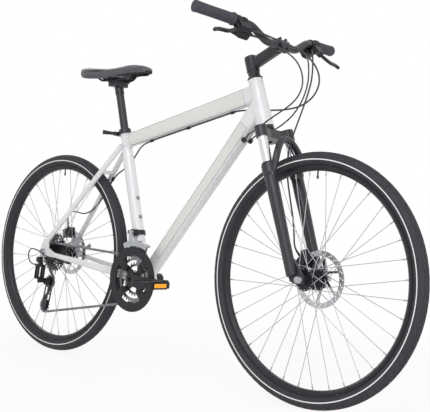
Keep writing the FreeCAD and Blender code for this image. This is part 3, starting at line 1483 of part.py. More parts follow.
guard_side = ring_sides["outer"] - 4.4
guard_thick = float(d.guard_thickness)
guard_outer = float(d.guard_radius)
guard_disc = Part.makeCylinder(guard_outer, guard_thick).cut(Part.makeCylinder(guard_outer - 27.0, guard_thick))
tabs = []
for a in arm_angles:
    way = Vector(math.cos(a), math.sin(a), 0)
    bar = Part.makeBox(guard_outer - 12.0 - bolt_outer, 26.0, guard_thick, Vector(0, -13.0, 0))
    bar.Placement = aimed(way * bolt_outer, Z_AXIS, way)
    tabs += [bar, Part.makeCylinder(13.0, guard_thick, way * bolt_outer)]
guard_holes = [Part.makeCylinder(4.0, guard_thick, Vector(
    math.cos(a) * bolt_outer, math.sin(a) * bolt_outer, 0)) for a in arm_angles]
guard = guard_disc.multiFuse(tabs).cut(Part.makeCompound(guard_holes))
guard.Placement = sprocket_frame(bracket, guard_side, guard_thick)
node("chain_guard", feature(guard))

spindle_half = d.spindle_length / 2
taper_length = 20.0
taper_half = 6.35
taper_middle = Y_AXIS * (float(spindle_half) - taper_length / 2)
spindle = fuse(
    cylinder(d.spindle_radius, d.spindle_length - taper_length * 2, bracket, Y_AXIS, centred=True),
    block(taper_half * 2, taper_half * 2, taper_length, bracket + taper_middle, Y_AXIS, X_AXIS),
    block(taper_half * 2, taper_half * 2, taper_length, bracket - taper_middle, Y_AXIS, X_AXIS))
crank_turn = math.radians(float(d.crank_angle))
crank_way = Vector(math.cos(crank_turn), 0, math.sin(crank_turn))


def crank(side):
    """Crank arm: square-bored boss, tapered arm with a step outwards, and pedal eye."""
    way = crank_way if side < 0 else -crank_way
    out = Y_AXIS * side
    boss_at = bracket + out * (float(spindle_half) - taper_length + 1.0)
    eye_at = bracket + way * float(d.crank_length) + out * (float(spindle_half) + 14.0)
    boss = cylinder(19.0, taper_length + 3.0, boss_at, out)
    eye = cylinder(13.5, d.crank_thickness, eye_at, out, centred=True)
    arm_start = boss_at + out * (taper_length * 0.85)
    reach = eye_at - arm_start
    arm = lofted([
        (0.0, rounded(d.crank_thickness + 3.0, 32.0, 5.0)),
        (reach.Length * 0.5, rounded(d.crank_thickness, 25.0, 5.0)),
        (reach.Length, rounded(d.crank_thickness - 1.0, 22.0, 4.5)),
    ], aimed(arm_start, reach, out))
    square = block(taper_half * 2, taper_half * 2, 70.0, boss_at + out * 10.0, Y_AXIS, X_AXIS)
    thread = cylinder(d.pedal_spindle_radius + 2.0, 60.0, eye_at, out, centred=True)
    stub = cylinder(d.pedal_spindle_radius + 2.0, d.crank_thickness, eye_at, out, centred=True)
    shaft = cylinder(d.pedal_spindle_radius, d.pedal_width * 0.9,
                     eye_at + out * (float(d.crank_thickness) / 2), out)
    collar_piece = cylinder(9.0, 6.0, eye_at + out * (float(d.crank_thickness) / 2), out)
    return [boss, eye, arm], [square, thread], fuse(stub, shaft, collar_piece), eye_at


right_solids, right_cuts, right_shaft, right_eye = crank(-1)
left_solids, left_cuts, left_shaft, left_eye = crank(1)
spider_side = (ring_sides["outer"] + ring_sides["middle"]) / 2
spider_thick = float(d.ring_spacing) - cog_thick
spider_parts = []
spider_frame = sprocket_frame(bracket, spider_side, spider_thick)
hub_disc = Part.makeCylinder(24.0, spider_thick)
for a in arm_angles:
    way = Vector(math.cos(a), math.sin(a), 0)
    bar = Part.makeBox(bolt_outer, 17.0, spider_thick, Vector(0, -8.5, 0))
    bar.Placement = aimed(Vector(0, 0, 0), Z_AXIS, way)
    spider_parts += [bar, Part.makeCylinder(8.5, spider_thick, way * bolt_outer)]
    inner_bar = Part.makeCylinder(5.5, float(d.ring_spacing) * 2 - cog_thick, way * bolt_inner)
    spider_parts.append(inner_bar)
spider = hub_disc.multiFuse(spider_parts)
ring_bolts = []
for a in arm_angles:
    at = bracket + Vector(math.cos(a), 0, math.sin(a)) * bolt_outer
    low = guard_side - guard_thick / 2 - 2.0
    ring_bolts.append(fuse(
        cylinder(4.0, ring_sides["middle"] + cog_thick / 2 - low, Vector(at.x, low, at.z), Y_AXIS),
        cylinder(6.5, 2.0, Vector(at.x, low, at.z), Y_AXIS)))
spider_solid = feature(spider, spider_frame)
node("right_crank", cut(fuse(*right_solids, spider_solid), *right_cuts, *ring_bolts),
     right_shaft, *ring_bolts)
node("left_crank", cut(fuse(*left_solids), *left_cuts), left_shaft, spindle)


def pedal(eye_at, side):
    """Platform pedal: bored barrel, toothed cage frame and a reflector on its front and rear."""
    out = Y_AXIS * side
    start = eye_at + out * (float(d.crank_thickness) / 2 + 6.0 + float(gap))
    middle = start + out * (float(d.pedal_width) / 2)
    frame = aimed(middle, Z_AXIS, X_AXIS)
    length, width = d.pedal_length, d.pedal_width
    cage = padded(rounded(length, width, 12.0), d.pedal_height * 0.75, frame, centred=True)
    windows = []
    for shift in (1, -1):
        at = middle + X_AXIS * (shift * (float(length) / 4 + 1.0))
        windows.append(block(length / 2 - 17.0, width - 20.0, 60.0, at))
    barrel = cylinder(11.0, width, start, out)
    bore = cylinder(d.pedal_spindle_radius + d.running_clearance, width - 6.0, start, out)
    teeth = []
    for shift in (1, -1):
        for count in range(7):
            at = middle + X_AXIS * (shift * (float(length) / 2 - 4.0)) + Y_AXIS * (count - 3) * 10.0
            teeth.append(block(5.0, 4.0, d.pedal_height, at))
    body = cut(fuse(cut(cage, *windows), barrel, *teeth), bore)
    reflectors = []
    for shift in (1, -1):
        face = middle + X_AXIS * (shift * (float(length) / 2 + 1.5))
        reflectors.append(block(3.0, 52.0, d.pedal_height * 0.6, face))
    return body, reflectors


right_body, right_reflectors = pedal(right_eye, -1)
left_body, left_reflectors = pedal(left_eye, 1)
node("right_pedal", right_body, *right_reflectors)
node("left_pedal", left_body, *left_reflectors)

# Rear derailleur on the hanger: fixed knuckle, parallelogram links, pivot knuckle, cage and pulleys
plate_out = -half_rear - float(d.dropout_thickness)
hanger = rear_axle + Vector(-float(d.hanger_back), plate_out, -float(d.hanger_drop))
upper_pivot = rear_axle + Vector(
    float(d.link_forward), plate_out - float(d.link_outboard), -float(d.link_drop))
lower_pivot = upper_pivot - Y_AXIS * float(d.link_lean) - Z_AXIS * float(d.link_fall)
link_gap, link_eye, link_pin = float(d.link_spread), float(d.link_eye_radius), float(d.link_pin_radius)
link_cheek = float(d.link_cheek)
pin = 2.5
adjuster = upper_pivot + Vector(-2.0, 0, 2.0)
adjuster_length = 26.0


def lugs(pivot):
    """Bar of a knuckle between its two link hinges, with a round lug and a pin at each end."""
    solids = [block(d.lug_width, link_gap * 2, link_eye * 2, pivot)]
    for shift in (1, -1):
        at = pivot + Y_AXIS * (shift * link_gap)
        solids.append(cylinder(d.link_eye_radius, d.lug_width, at, X_AXIS, centred=True))
        solids.append(cylinder(d.link_pin_radius, d.lug_width + (gap + d.link_cheek) * 2 + 1.0, at, X_AXIS,
                               centred=True))
    return solids


def derailleur_link(offset):
    """Side link of the parallelogram: two cheeks on the hinge pins and the web between them."""
    start = upper_pivot + Y_AXIS * offset
    way = lower_pivot - upper_pivot
    middle, reach = start + way * 0.5, way.Length
    bore = d.link_pin_radius + d.running_clearance
    inside = float(d.lug_width) / 2 + float(gap)
    cheeks = []
    for foot in (inside, -inside - link_cheek):
        cheeks.append(padded(slotted(reach, d.link_eye_radius), d.link_cheek,
                             aimed(middle + X_AXIS * foot, X_AXIS, way),
                             holes=[(-reach / 2, 0.0, bore), (reach / 2, 0.0, bore)]))
    web = block(d.lug_width + gap * 2 + d.link_cheek, link_eye, reach - (link_eye + 4.0) * 2, middle, way, X_AXIS)
    return fuse(web, *cheeks)


fixed = fuse(
    cylinder(10.0, 15.0, hanger, -Y_AXIS),
    cylinder(4.8, float(d.dropout_thickness) + 1.0, hanger + Y_AXIS * (float(d.dropout_thickness) + 1.0),
             -Y_AXIS),
    block(11.0, 12.0, 30.0, (hanger + upper_pivot) * 0.5 - Y_AXIS * 4.0 + Z_AXIS * 4.0,
          hanger - upper_pivot + Y_AXIS * (upper_pivot.y - hanger.y), Y_AXIS),
    *lugs(upper_pivot),
    cylinder(4.0, adjuster_length, adjuster, -X_AXIS))
node("derailleur_knuckle", fixed)
node("derailleur_outer_link", derailleur_link(-link_gap))
node("derailleur_inner_link", derailleur_link(link_gap))
cage_out = chain_side - float(d.cage_gap) - float(d.cage_plate)
pivot_face = cage_out - float(gap)
pivot = Vector(guide.x, pivot_face, guide.z)
moving = fuse(
    cylinder(12.0, 14.0, pivot, -Y_AXIS),
    cylinder(4.0, float(gap) + float(d.cage_plate), pivot, Y_AXIS),
    *lugs(lower_pivot),
    block(d.lug_width, abs(lower_pivot.y - pivot.y), 14.0, Vector(
        lower_pivot.x, (lower_pivot.y + pivot.y) / 2 - 4.0, lower_pivot.z - 10.0), Z_AXIS, X_AXIS))
node("derailleur_pivot", moving)

cage_way = tension - guide
cage_thick = float(d.cage_plate)
pulley_bolt = 2.5
cage_shapes = []
for side_at, holes in ((cage_out, ((guide, 4.0 + float(d.running_clearance)),)),
                       (chain_side + float(d.cage_gap), ())):
    plate_solid = padded(
        slotted(float(d.cage_length), 12.0, float(d.cage_length) / 2 + 0.0), cage_thick,
        aimed(Vector(guide.x, side_at, guide.z), Y_AXIS, cage_way))
    window = padded(
        slotted(float(d.cage_length) - 52.0, 6.5, float(d.cage_length) / 2 + 0.0), cage_thick * 3,
        aimed(Vector(guide.x, side_at - cage_thick, guide.z), Y_AXIS, cage_way))
    cuts = [window] + [cylinder(r, 10.0, Vector(at.x, side_at - 3.0, at.z), Y_AXIS) for at, r in holes]
    cage_shapes.append(cut(plate_solid, *cuts))
inside_width = 2 * float(d.cage_gap)
cage_shapes.append(cylinder(pulley_bolt, inside_width + cage_thick, Vector(
    tension.x, chain_side - float(d.cage_gap) - cage_thick / 2, tension.z), Y_AXIS))
cage_shapes.append(cylinder(pulley_bolt, inside_width - float(gap), Vector(
    guide.x, chain_side - float(d.cage_gap) + float(gap), guide.z), Y_AXIS))
cage_stay = guide + cage_way * 0.5
cage_normal = unit(cage_way.cross(Y_AXIS))
cage_shapes.append(cylinder(2.0, inside_width, Vector(
    cage_stay.x, chain_side - float(d.cage_gap), cage_stay.z) + cage_normal * 9.2, Y_AXIS))
node("derailleur_cage", fuse(*cage_shapes))
pulley_thick = 2.0
for name, at in (("guide_pulley", guide), ("tension_pulley", tension)):
    wheel = toothed(pulley_teeth, phase_at(at), pulley_thick)
    wheel = wheel.fuse(Part.makeCylinder(8.0, 6.0, Vector(0, 0, pulley_thick / 2 - 3.0)))
    wheel = wheel.cut(Part.makeCylinder(pulley_bolt + float(d.running_clearance), 20.0, Vector(0, 0, -10.0)))
    node(name, feature(wheel, sprocket_frame(at, chain_side, pulley_thick)))

# Front derailleur: band on the seat tube and swinging cage over the rings
band_level = 152.0
band_wall = 3.5
swing_at = Vector(seat_point(band_level).x + 4.0, -30.0, seat_point(band_level).z + 4.0)
band = cut(
    fuse(cylinder(d.seat_tube_radius + band_wall, 15.0, seat_point(band_level - 7.5), seat_way),
         block(26.0, 12.4, 20.0, Vector(swing_at.x, -22.2, swing_at.z)),
         cylinder(2.5, 36.0, Vector(swing_at.x, swing_at.y - 4.0, swing_at.z), X_AXIS, centred=True),
         block(5.0, 17.0, 12.0, Vector(swing_at.x + 14.5, -29.5, swing_at.z)),
         block(5.0, 17.0, 12.0, Vector(swing_at.x - 14.5, -29.5, swing_at.z))),
    cylinder(d.seat_tube_radius, 60.0, seat_point(band_level - 30.0), seat_way))
node("front_derailleur_clamp", band)
cage_inner, cage_outer = chain_side + 6.5, chain_side - 8.1


def guide_plate(side, low, high, start, stop, thick):
    """Curved side plate of the front cage, about the bracket axis."""
    a, b = math.radians(start), math.radians(stop)
    half = (a + b) / 2
    points = [(low, a), (low, half), (low, b), (high, b), (high, half), (high, a)]
    at = [Vector(bracket.x + r * math.cos(t), side, bracket.z + r * math.sin(t)) for r, t in points]
    wire = Part.Wire([
        Part.Arc(at[0], at[1], at[2]).toShape(), Part.LineSegment(at[2], at[3]).toShape(),
        Part.Arc(at[3], at[4], at[5]).toShape(), Part.LineSegment(at[5], at[0]).toShape()])
    return Part.Face(wire).extrude(Y_AXIS * thick)


plate_low = guard_outer + 3.0
outer_plate = guide_plate(cage_outer, plate_low, plate_low + 17.0, 62, 116, 1.6)
inner_plate = guide_plate(cage_inner, 84.0, plate_low + 17.0, 66, 112, 1.6)
tail = guide_plate(cage_outer, plate_low + 11.0, plate_low + 17.0, 104, 116, cage_inner - cage_outer + 1.6)
nose = guide_plate(cage_outer, plate_low + 12.0, plate_low + 17.0, 62, 78, cage_inner - cage_outer + 1.6)
swing_bar = Part.makeCylinder(5.0, 22.0, swing_at + Vector(-11.0, -4.0, 0), X_AXIS)
swing_leg = Part.makeBox(16.0, 6.0, 42.0, Vector(swing_at.x - 8.0, cage_inner, swing_at.z - 40.0))
cage_solid = outer_plate.multiFuse([inner_plate, tail, nose, swing_bar, swing_leg])
swing_bore = Part.makeCylinder(2.5 + float(d.running_clearance), 60.0,
                               swing_at + Vector(-30.0, -4.0, 0), X_AXIS)
node("front_derailleur_cage", feature(cage_solid.cut(swing_bore)))

# Brakes: calipers that straddle the rotors
caliper_reach = float(d.rotor_radius) - float(d.rotor_track) / 2 + 1.0


def caliper(centre, way, low, high, seat):
    """Two-piston caliper with a slot for the rotor, round piston caps and a hose banjo."""
    middle = centre + way * caliper_reach
    frame = aimed(middle + Y_AXIS * low, Y_AXIS, way.cross(Y_AXIS))
    body = padded(rounded(54.0, 33.0, 9.0), high - low, frame)
    cap = cylinder(11.5, high - low + 3.0, middle + Y_AXIS * (low - 3.0), Y_AXIS)
    room = float(gap) + 0.2
    slot_cut = cylinder(d.rotor_radius + 1.0, d.rotor_thickness + 2 * room,
                        centre + Y_AXIS * (float(seat) - room), Y_AXIS)
    banjo = cylinder(4.0, 12.0, middle + way * 12.0 + Y_AXIS * (low + 7.0), way)
    return cut(fuse(body, cap, banjo), slot_cut), middle + way * 24.0 + Y_AXIS * (low + 7.0)


front_caliper_way = unit(steer_way * 66.0 - steer_front * 38.0)
front_caliper, front_banjo = caliper(
    front_axle, front_caliper_way, caliper_inner, caliper_outer, d.front_rotor_seat)
node("front_caliper", front_caliper)
rear_caliper_way = unit(Vector(-19.0, 0, 70.5))
rear_low, rear_high = 42.0, 57.5
rear_caliper, rear_banjo = caliper(rear_axle, rear_caliper_way, rear_low, rear_high, d.rear_rotor_seat)
tab_at = rear_axle + Vector(-17.0, (rear_high + half_rear) / 2, 62.0)
rear_bracket = block(16.0, half_rear - rear_high, 22.0, tab_at)
node("rear_caliper", fuse(rear_caliper, rear_bracket))

# Controls on each side of the bar: brake perch with lever, shifter pod with trigger
perch_place = float(d.grip_length) + 12.0
pod_place = perch_place + 22.0
perches, pods, hose_exits, pod_exits = [], [], {}, {}
lever_names = {-1: "right", 1: "left"}
droop = math.radians(float(d.lever_droop))


def lever_frame(side):
    """Directions at the grip: outwards along the bar, forwards to the lever, and upwards."""
    outward = bar_ends[side][1] * -1.0
    ahead = Vector(math.cos(droop), 0, -math.sin(droop))
    ahead = unit(ahead - outward * ahead.dot(outward))
    upward = outward.cross(ahead) * (-1.0 if side < 0 else 1.0)
    return outward, ahead, upward * (1.0 if upward.z > 0 else -1.0)


for side in (-1, 1):
    outward, ahead, upward = lever_frame(side)
    bar_end = bar_ends[side][0]
    at = bar_end - outward * perch_place
    pivot_at = at + ahead * 33.0 + outward * 8.0
    eye_height = 9.0
    cheek = 3.0
    pin_length = eye_height + 2 * (cheek + float(gap))
    perch_solids = [
        cylinder(d.bar_radius + 4.5, 14.0, at, outward, centred=True),
        block(14.0, 20.0, 13.0, at + ahead * 18.0, upward, outward),
        cylinder(9.5, 46.0, at + ahead * 26.0 - outward * 14.0, outward, centred=True),
        block(38.0, 22.0, 9.0, at + ahead * 26.0 - outward * 14.0 + upward * 9.0, upward, outward),
        cylinder(pin, pin_length, pivot_at, upward, centred=True),
    ]
    for level in (1, -1):
        cheek_at = pivot_at + upward * (level * (eye_height / 2 + float(gap) + cheek / 2))
        perch_solids.append(cylinder(7.5, cheek, cheek_at, upward, centred=True))
        perch_solids.append(block(14.0, 16.0, cheek, cheek_at - ahead * 7.0 - outward * 2.0, upward, outward))
    eye_room = cylinder(9.0, eye_height + 2 * float(gap), pivot_at, upward, centred=True)
    eye_cut = cut(eye_room, cylinder(pin, 40.0, pivot_at, upward, centred=True))
    lever_room = block(60.0, 60.0, eye_height + 2 * float(gap),
                       pivot_at + outward * 24.0 + ahead * 20.0, upward, outward)
    perches.append(cut(fuse(*perch_solids), bar_solid, eye_cut, lever_room))
    hose_exits[side] = at + ahead * 26.0 - outward * 37.0

    reach = float(d.lever_length)
    forward = float(d.lever_reach) - 33.0
    blade_path = [
        pivot_at, pivot_at + outward * 16.0 + ahead * 14.0,
        pivot_at + outward * 40.0 + ahead * (forward * 0.8),
        pivot_at + outward * (reach - 18.0) + ahead * (forward * 0.9),
        pivot_at + outward * reach + ahead * (forward * 1.15),
    ]
    wire, _ = route(blade_path)
    start_way = unit(blade_path[1] - blade_path[0])
    across = unit(upward.cross(start_way))
    half_wide, half_thick = eye_height / 2 + 0.0, 3.4
    ring_points = [blade_path[0] + upward * (a * half_wide) + across * (b * half_thick)
                   for a, b in ((1, 1), (-1, 1), (-1, -1), (1, -1))]
    blade = wire.makePipeShell([Part.makePolygon(ring_points + ring_points[:1])], True, True)
    eye = Part.makeCylinder(6.5, eye_height, pivot_at - upward * (eye_height / 2), upward)
    bore = Part.makeCylinder(pin + float(d.running_clearance), 40.0, pivot_at - upward * 20.0, upward)
    node(lever_names[side] + "_brake_lever", feature(eye.fuse(blade).cut(bore)))

    pod_at = bar_end - outward * pod_place
    pod_middle = pod_at + ahead * 14.0 - upward * 21.0 - outward * 8.0
    pod_low = 11.0
    pin_at = pod_middle - upward * pod_low
    pod_solid = fuse(
        cylinder(d.bar_radius + 4.0, 10.0, pod_at, outward, centred=True),
        padded(rounded(44.0, 34.0, 11.0), pod_low * 2, aimed(pod_middle - upward * pod_low, upward, outward)),
        cylinder(pin, 8.0, pin_at - upward * 7.0, upward))
    exit_at = pod_middle - outward * 22.0
    exit_way = unit(Vector(14, 0, -6) - outward * 30.0)
    barrel = cylinder(4.2, 14.0, exit_at - exit_way * 4.0, exit_way)
    pods.append(cut(fuse(pod_solid, barrel), bar_solid))
    pod_exits[side] = exit_at + exit_way * 10.0, exit_way
    trigger_frame = aimed(pin_at - upward * (5.0 + float(gap)), upward, outward * 0.9 - ahead * 0.3)
    trigger = padded(slotted(26.0, 7.5, 13.0), 5.0, trigger_frame)
    trigger_bore = cylinder(pin + d.running_clearance, 40.0, pin_at - upward * 20.0, upward)
    node(lever_names[side] + "_shift_lever", cut(trigger, trigger_bore))
node("control_pods", *perches, *pods)

# Hoses, cables and the fittings that hold them
hose = float(d.hose_radius)
top_way = top_rear - top_front
top_down = unit(Vector(top_way.z, 0, -top_way.x))
top_down = top_down * (-1.0 if top_down.z > 0 else 1.0)


def under_top(share):
    """Place of the rear hose under the top tube, by its share of the way back."""
    depth = float(d.top_tube_front_depth) * (1.0 - share) + float(d.top_tube_rear_depth) * share
    return top_front + top_way * share + top_down * (depth / 2 + hose + 0.4)


stay_way = unit(seat_stay_way)
stay_back = unit(Vector(-stay_way.z, 0, stay_way.x))
stay_back = stay_back * (1.0 if stay_back.x < 0 else -1.0)


def stay_point(share, back, side=0.0):
    """Point behind the left seat stay, or before it with a negative distance, by its share of the way down."""
    return seat_stay_start + seat_stay_way * share + stay_back * back + Y_AXIS * side


right_exit, left_exit = hose_exits[-1], hose_exits[1]
hose_ways = {side: lever_frame(side)[0] * -1.0 for side in (-1, 1)}
stay_room = float(d.seat_stay_depth) / 2 + hose + 0.6
rear_hose_points = [
    right_exit, right_exit + hose_ways[-1] * 30.0 + Vector(9, 0, 0),
    Vector(438, -66, 1008), Vector(452, -12, 1000), Vector(466, 36, 984),
    Vector(491, 58, 948), Vector(501, 62, 905), Vector(482, 60, 864), Vector(443, 52, 838),
    Vector(396, 43, 830), Vector(345, 37, 830), Vector(303, 29, 831), Vector(270, 10, 830),
    under_top(0.16), under_top(0.80),
    Vector(-160, 3, 731), Vector(-194, 14, 707), Vector(-226, 26, 683), Vector(-263, 27.5, 656),
    stay_point(0.27, -stay_room), stay_point(0.50, -stay_room), Vector(-427, 33, 507), Vector(-478, 37, 492),
    Vector(-528, 45, 499), Vector(-564, 49, 500), rear_banjo + rear_caliper_way * 34.0, rear_banjo,
]
front_hose_points = [
    left_exit, left_exit + hose_ways[1] * 26.0 + Vector(6, 0, 0),
    left_exit + hose_ways[1] * 46.0 + Vector(24, 0, -28),
    steer_point(574.0, 142.0, 80.0), steer_point(530.0, 124.0, 68.0), steer_point(486.0, 100.0, 56.0),
    steer_point(444.0, 76.0, 44.0), steer_point(402.0, 48.0, 37.0), steer_point(360.0, 27.0, 36.0),
    steer_point(312.0, 13.0, 37.0), steer_point(254.0, 6.0, 38.0), steer_point(198.0, 2.0, 38.5),
    steer_point(148.0, -5.0, 37.0),
    front_banjo + front_caliper_way * 24.0, front_banjo,
]
brake_lines = []
for points in (rear_hose_points, front_hose_points):
    line, length, radii = piped(points, d.hose_radius)
    print("hose length", round(length), "radii", [round(radius) for radius in radii])
    brake_lines.append(line)
node("brake_hoses", *brake_lines)

down_way = down_front - bracket
down_under = unit(Vector(down_way.z, 0, -down_way.x))
down_under = down_under * (1.0 if down_under.z < 0 else -1.0)


def down_point(share, side, under):
    """Point beside the down tube, by its share of the way up from the bracket."""
    return bracket + down_way * share + Y_AXIS * side + down_under * under


cable = float(d.cable_radius)
stop_share = 0.85
stop_side = 14.0
stop_length = 12.0
down_unit = unit(down_way)
gear_lines, fittings = [], list(bosses)
for side in (-1, 1):
    stop_at = down_point(stop_share, side * stop_side, 30.0)
    stop = cut(block(10.0, 13.0, stop_length, stop_at - down_under * 2.0, down_unit, Y_AXIS),
               cylinder(cable, 40.0, stop_at, down_unit, centred=True), down_blank)
    fittings.append(stop)
    start, start_way = pod_exits[side]
    seat = stop_at + down_unit * (stop_length / 2)
    loop = {-1: [(604.0, 172.0, -36.0), (558.0, 180.0, -24.0), (514.0, 168.0, -22.0), (484.0, 130.0, -24.0)],
            1: [(592.0, 160.0, 46.0), (548.0, 146.0, 45.0), (508.0, 118.0, 42.0), (480.0, 82.0, 39.0)]}[side]
    points = [start, start + start_way * 24.0, start + start_way * 56.0 + Vector(15, 0, -9)]
    points += [steer_point(*place) for place in loop]
    points += [
        steer_point(467.0, 50.0, side * 37.0), steer_point(459.0, 10.0, side * 36.0),
        steer_point(458.0, -26.0, side * 27.0), stop_at + down_unit * 24.0, seat - down_unit * 4.0,
    ]
    line, length, radii = piped(points, d.cable_radius)
    print("shift cable length", round(length), "radii", [round(radius) for radius in radii])
    gear_lines.append(line)

chain_way = chain_stay_end - chain_stay_start
chain_under = unit(Vector(chain_way.z, 0, -chain_way.x))
chain_under = chain_under * (1.0 if chain_under.z < 0 else -1.0)


def low_point(share, side, under):
    """Point under the right chain stay, by its share of the way back."""
    at = chain_stay_start + chain_way * share
    return Vector(at.x, -at.y + side, at.z) + chain_under * under


loop_stop = low_point(0.80, 0.0, 12.6)
loop_way = unit(Vector(chain_way.x, -chain_way.y, chain_way.z))
loop_end = adjuster + Vector(-adjuster_length, 0, 0)
loop_points = [
    loop_stop - loop_way * 3.0, loop_stop + loop_way * 30.0 + chain_under * 4.0 - Y_AXIS * 4.0,
    rear_axle + Vector(48, loop_end.y - 3.0, -18), rear_axle + Vector(2, loop_end.y - 11.0, 4),
    loop_end + Vector(-26, -7, 58), loop_end + Vector(-43, -4.5, 41), loop_end + Vector(-43, -2, 17),
    loop_end + Vector(-26, 0, 0), loop_end,
]
line, length, radii = piped(loop_points, d.cable_radius)
print("rear loop length", round(length), "radii", [round(radius) for radius in radii])
gear_lines.append(line)
fittings.append(cut(block(9.0, 9.0, 14.0, loop_stop, loop_way, Y_AXIS), line, right_rear))
node("gear_cables", *gear_lines)

# Clips along the top tube and seat stay
clip_width = 12.0
for share in (0.18, 0.50, 0.79):
    clip = cut(cylinder(hose + 2.2, clip_width, under_top(share), top_way, centred=True), brake_lines[0], top_blank)
    fittings.append(clip)
for share in (0.30, 0.47):
    clip = cut(cylinder(hose + 2.6, clip_width, stay_point(share, -stay_room), stay_way, centred=True),
               brake_lines[0], left_seat_stay)
    fittings.append(clip)
node("frame_fittings", *fittings)

# Every object has to be sound before anything is written
document.recompute()
for obj in document.Objects:
    if "Invalid" in obj.State or "Error" in obj.State:
        raise RuntimeError(f"{obj.Name} did not recompute: {obj.getStatusString()}")
os.makedirs("parts", exist_ok=True)
for name, obj in nodes.items():
    shape = obj.Shape
    if shape.isNull() or not shape.isValid() or not shape.Solids:
        raise RuntimeError(f"{name} has no sound solid")
    shape.exportStep(f"parts/{name}.step")
print(len(nodes), "nodes")
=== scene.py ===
"""Looks of the hybrid bicycle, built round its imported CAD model.

Places are in metres in the CAD frame: X forward, Y left, Z up, the ground at Z 0 and the drive
side on -Y. A piece's own sizes are in millimetres and degrees, and a cord's in metres.
"""

import logging
import math
from dataclasses import dataclass
from enum import Enum
from typing import Any, Optional, Sequence, Union

import bpy
import numpy as np
from mathutils import Matrix, Vector


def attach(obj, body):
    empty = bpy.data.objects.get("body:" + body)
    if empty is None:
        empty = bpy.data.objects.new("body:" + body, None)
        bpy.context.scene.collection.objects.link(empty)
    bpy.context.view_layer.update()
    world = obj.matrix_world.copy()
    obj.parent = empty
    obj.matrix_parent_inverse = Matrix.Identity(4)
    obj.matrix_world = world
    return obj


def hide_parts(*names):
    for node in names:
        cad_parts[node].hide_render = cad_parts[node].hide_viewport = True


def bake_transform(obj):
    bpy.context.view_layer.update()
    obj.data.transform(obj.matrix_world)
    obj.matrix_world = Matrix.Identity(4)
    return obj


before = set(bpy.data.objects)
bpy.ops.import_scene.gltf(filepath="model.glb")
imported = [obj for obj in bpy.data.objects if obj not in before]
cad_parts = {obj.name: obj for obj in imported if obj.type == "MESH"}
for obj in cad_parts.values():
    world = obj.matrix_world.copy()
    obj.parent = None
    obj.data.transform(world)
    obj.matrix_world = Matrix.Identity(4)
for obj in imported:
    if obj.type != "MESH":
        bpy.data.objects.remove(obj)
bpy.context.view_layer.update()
log = logging.getLogger("bicycle")

MM = 0.001
TURN = 2.0 * math.pi
GOLDEN_TURN = 2.39996
Point = tuple[float, float, float]
Array = np.ndarray
Socket = bpy.types.NodeSocket


# Points that the CAD source gives, in metres

FRONT_AXLE: Point = (0.555, 0.0, 0.3511)
REAR_AXLE: Point = (-0.555, 0.0, 0.3511)
BRACKET: Point = (-0.1037, 0.0, 0.2931)
STEER_WAY: Point = (-0.32557, 0.0, 0.94552)
SEAT_WAY: Point = (-0.28067, 0.0, 0.95981)
TOP_REAR: Point = (-0.2356, 0.0, 0.7442)
TOP_FRONT: Point = (0.3253, 0.0, 0.8769)
DOWN_FRONT: Point = (0.3389, 0.0, 0.8372)
RIGHT_PEDAL: Point = (0.0663, -0.1369, 0.2931)
LEFT_PEDAL: Point = (-0.2737, 0.1369, 0.2931)


# Finishes


def linear(colour: str) -> tuple[float, float, float, float]:
    """Turns an sRGB hex colour to the linear values that a shader takes.

    Args:
        colour: six hex digits, with or without a leading #.

    Returns:
        Red, green, blue and alpha, linear.
    """
    digits = colour.lstrip("#")
    parts = np.array([int(digits[i:i + 2], 16) for i in (0, 2, 4)]) / 255.0
    values = np.where(parts <= 0.04045, parts / 12.92, ((parts + 0.055) / 1.055) ** 2.4)
    return (float(values[0]), float(values[1]), float(values[2]), 1.0)


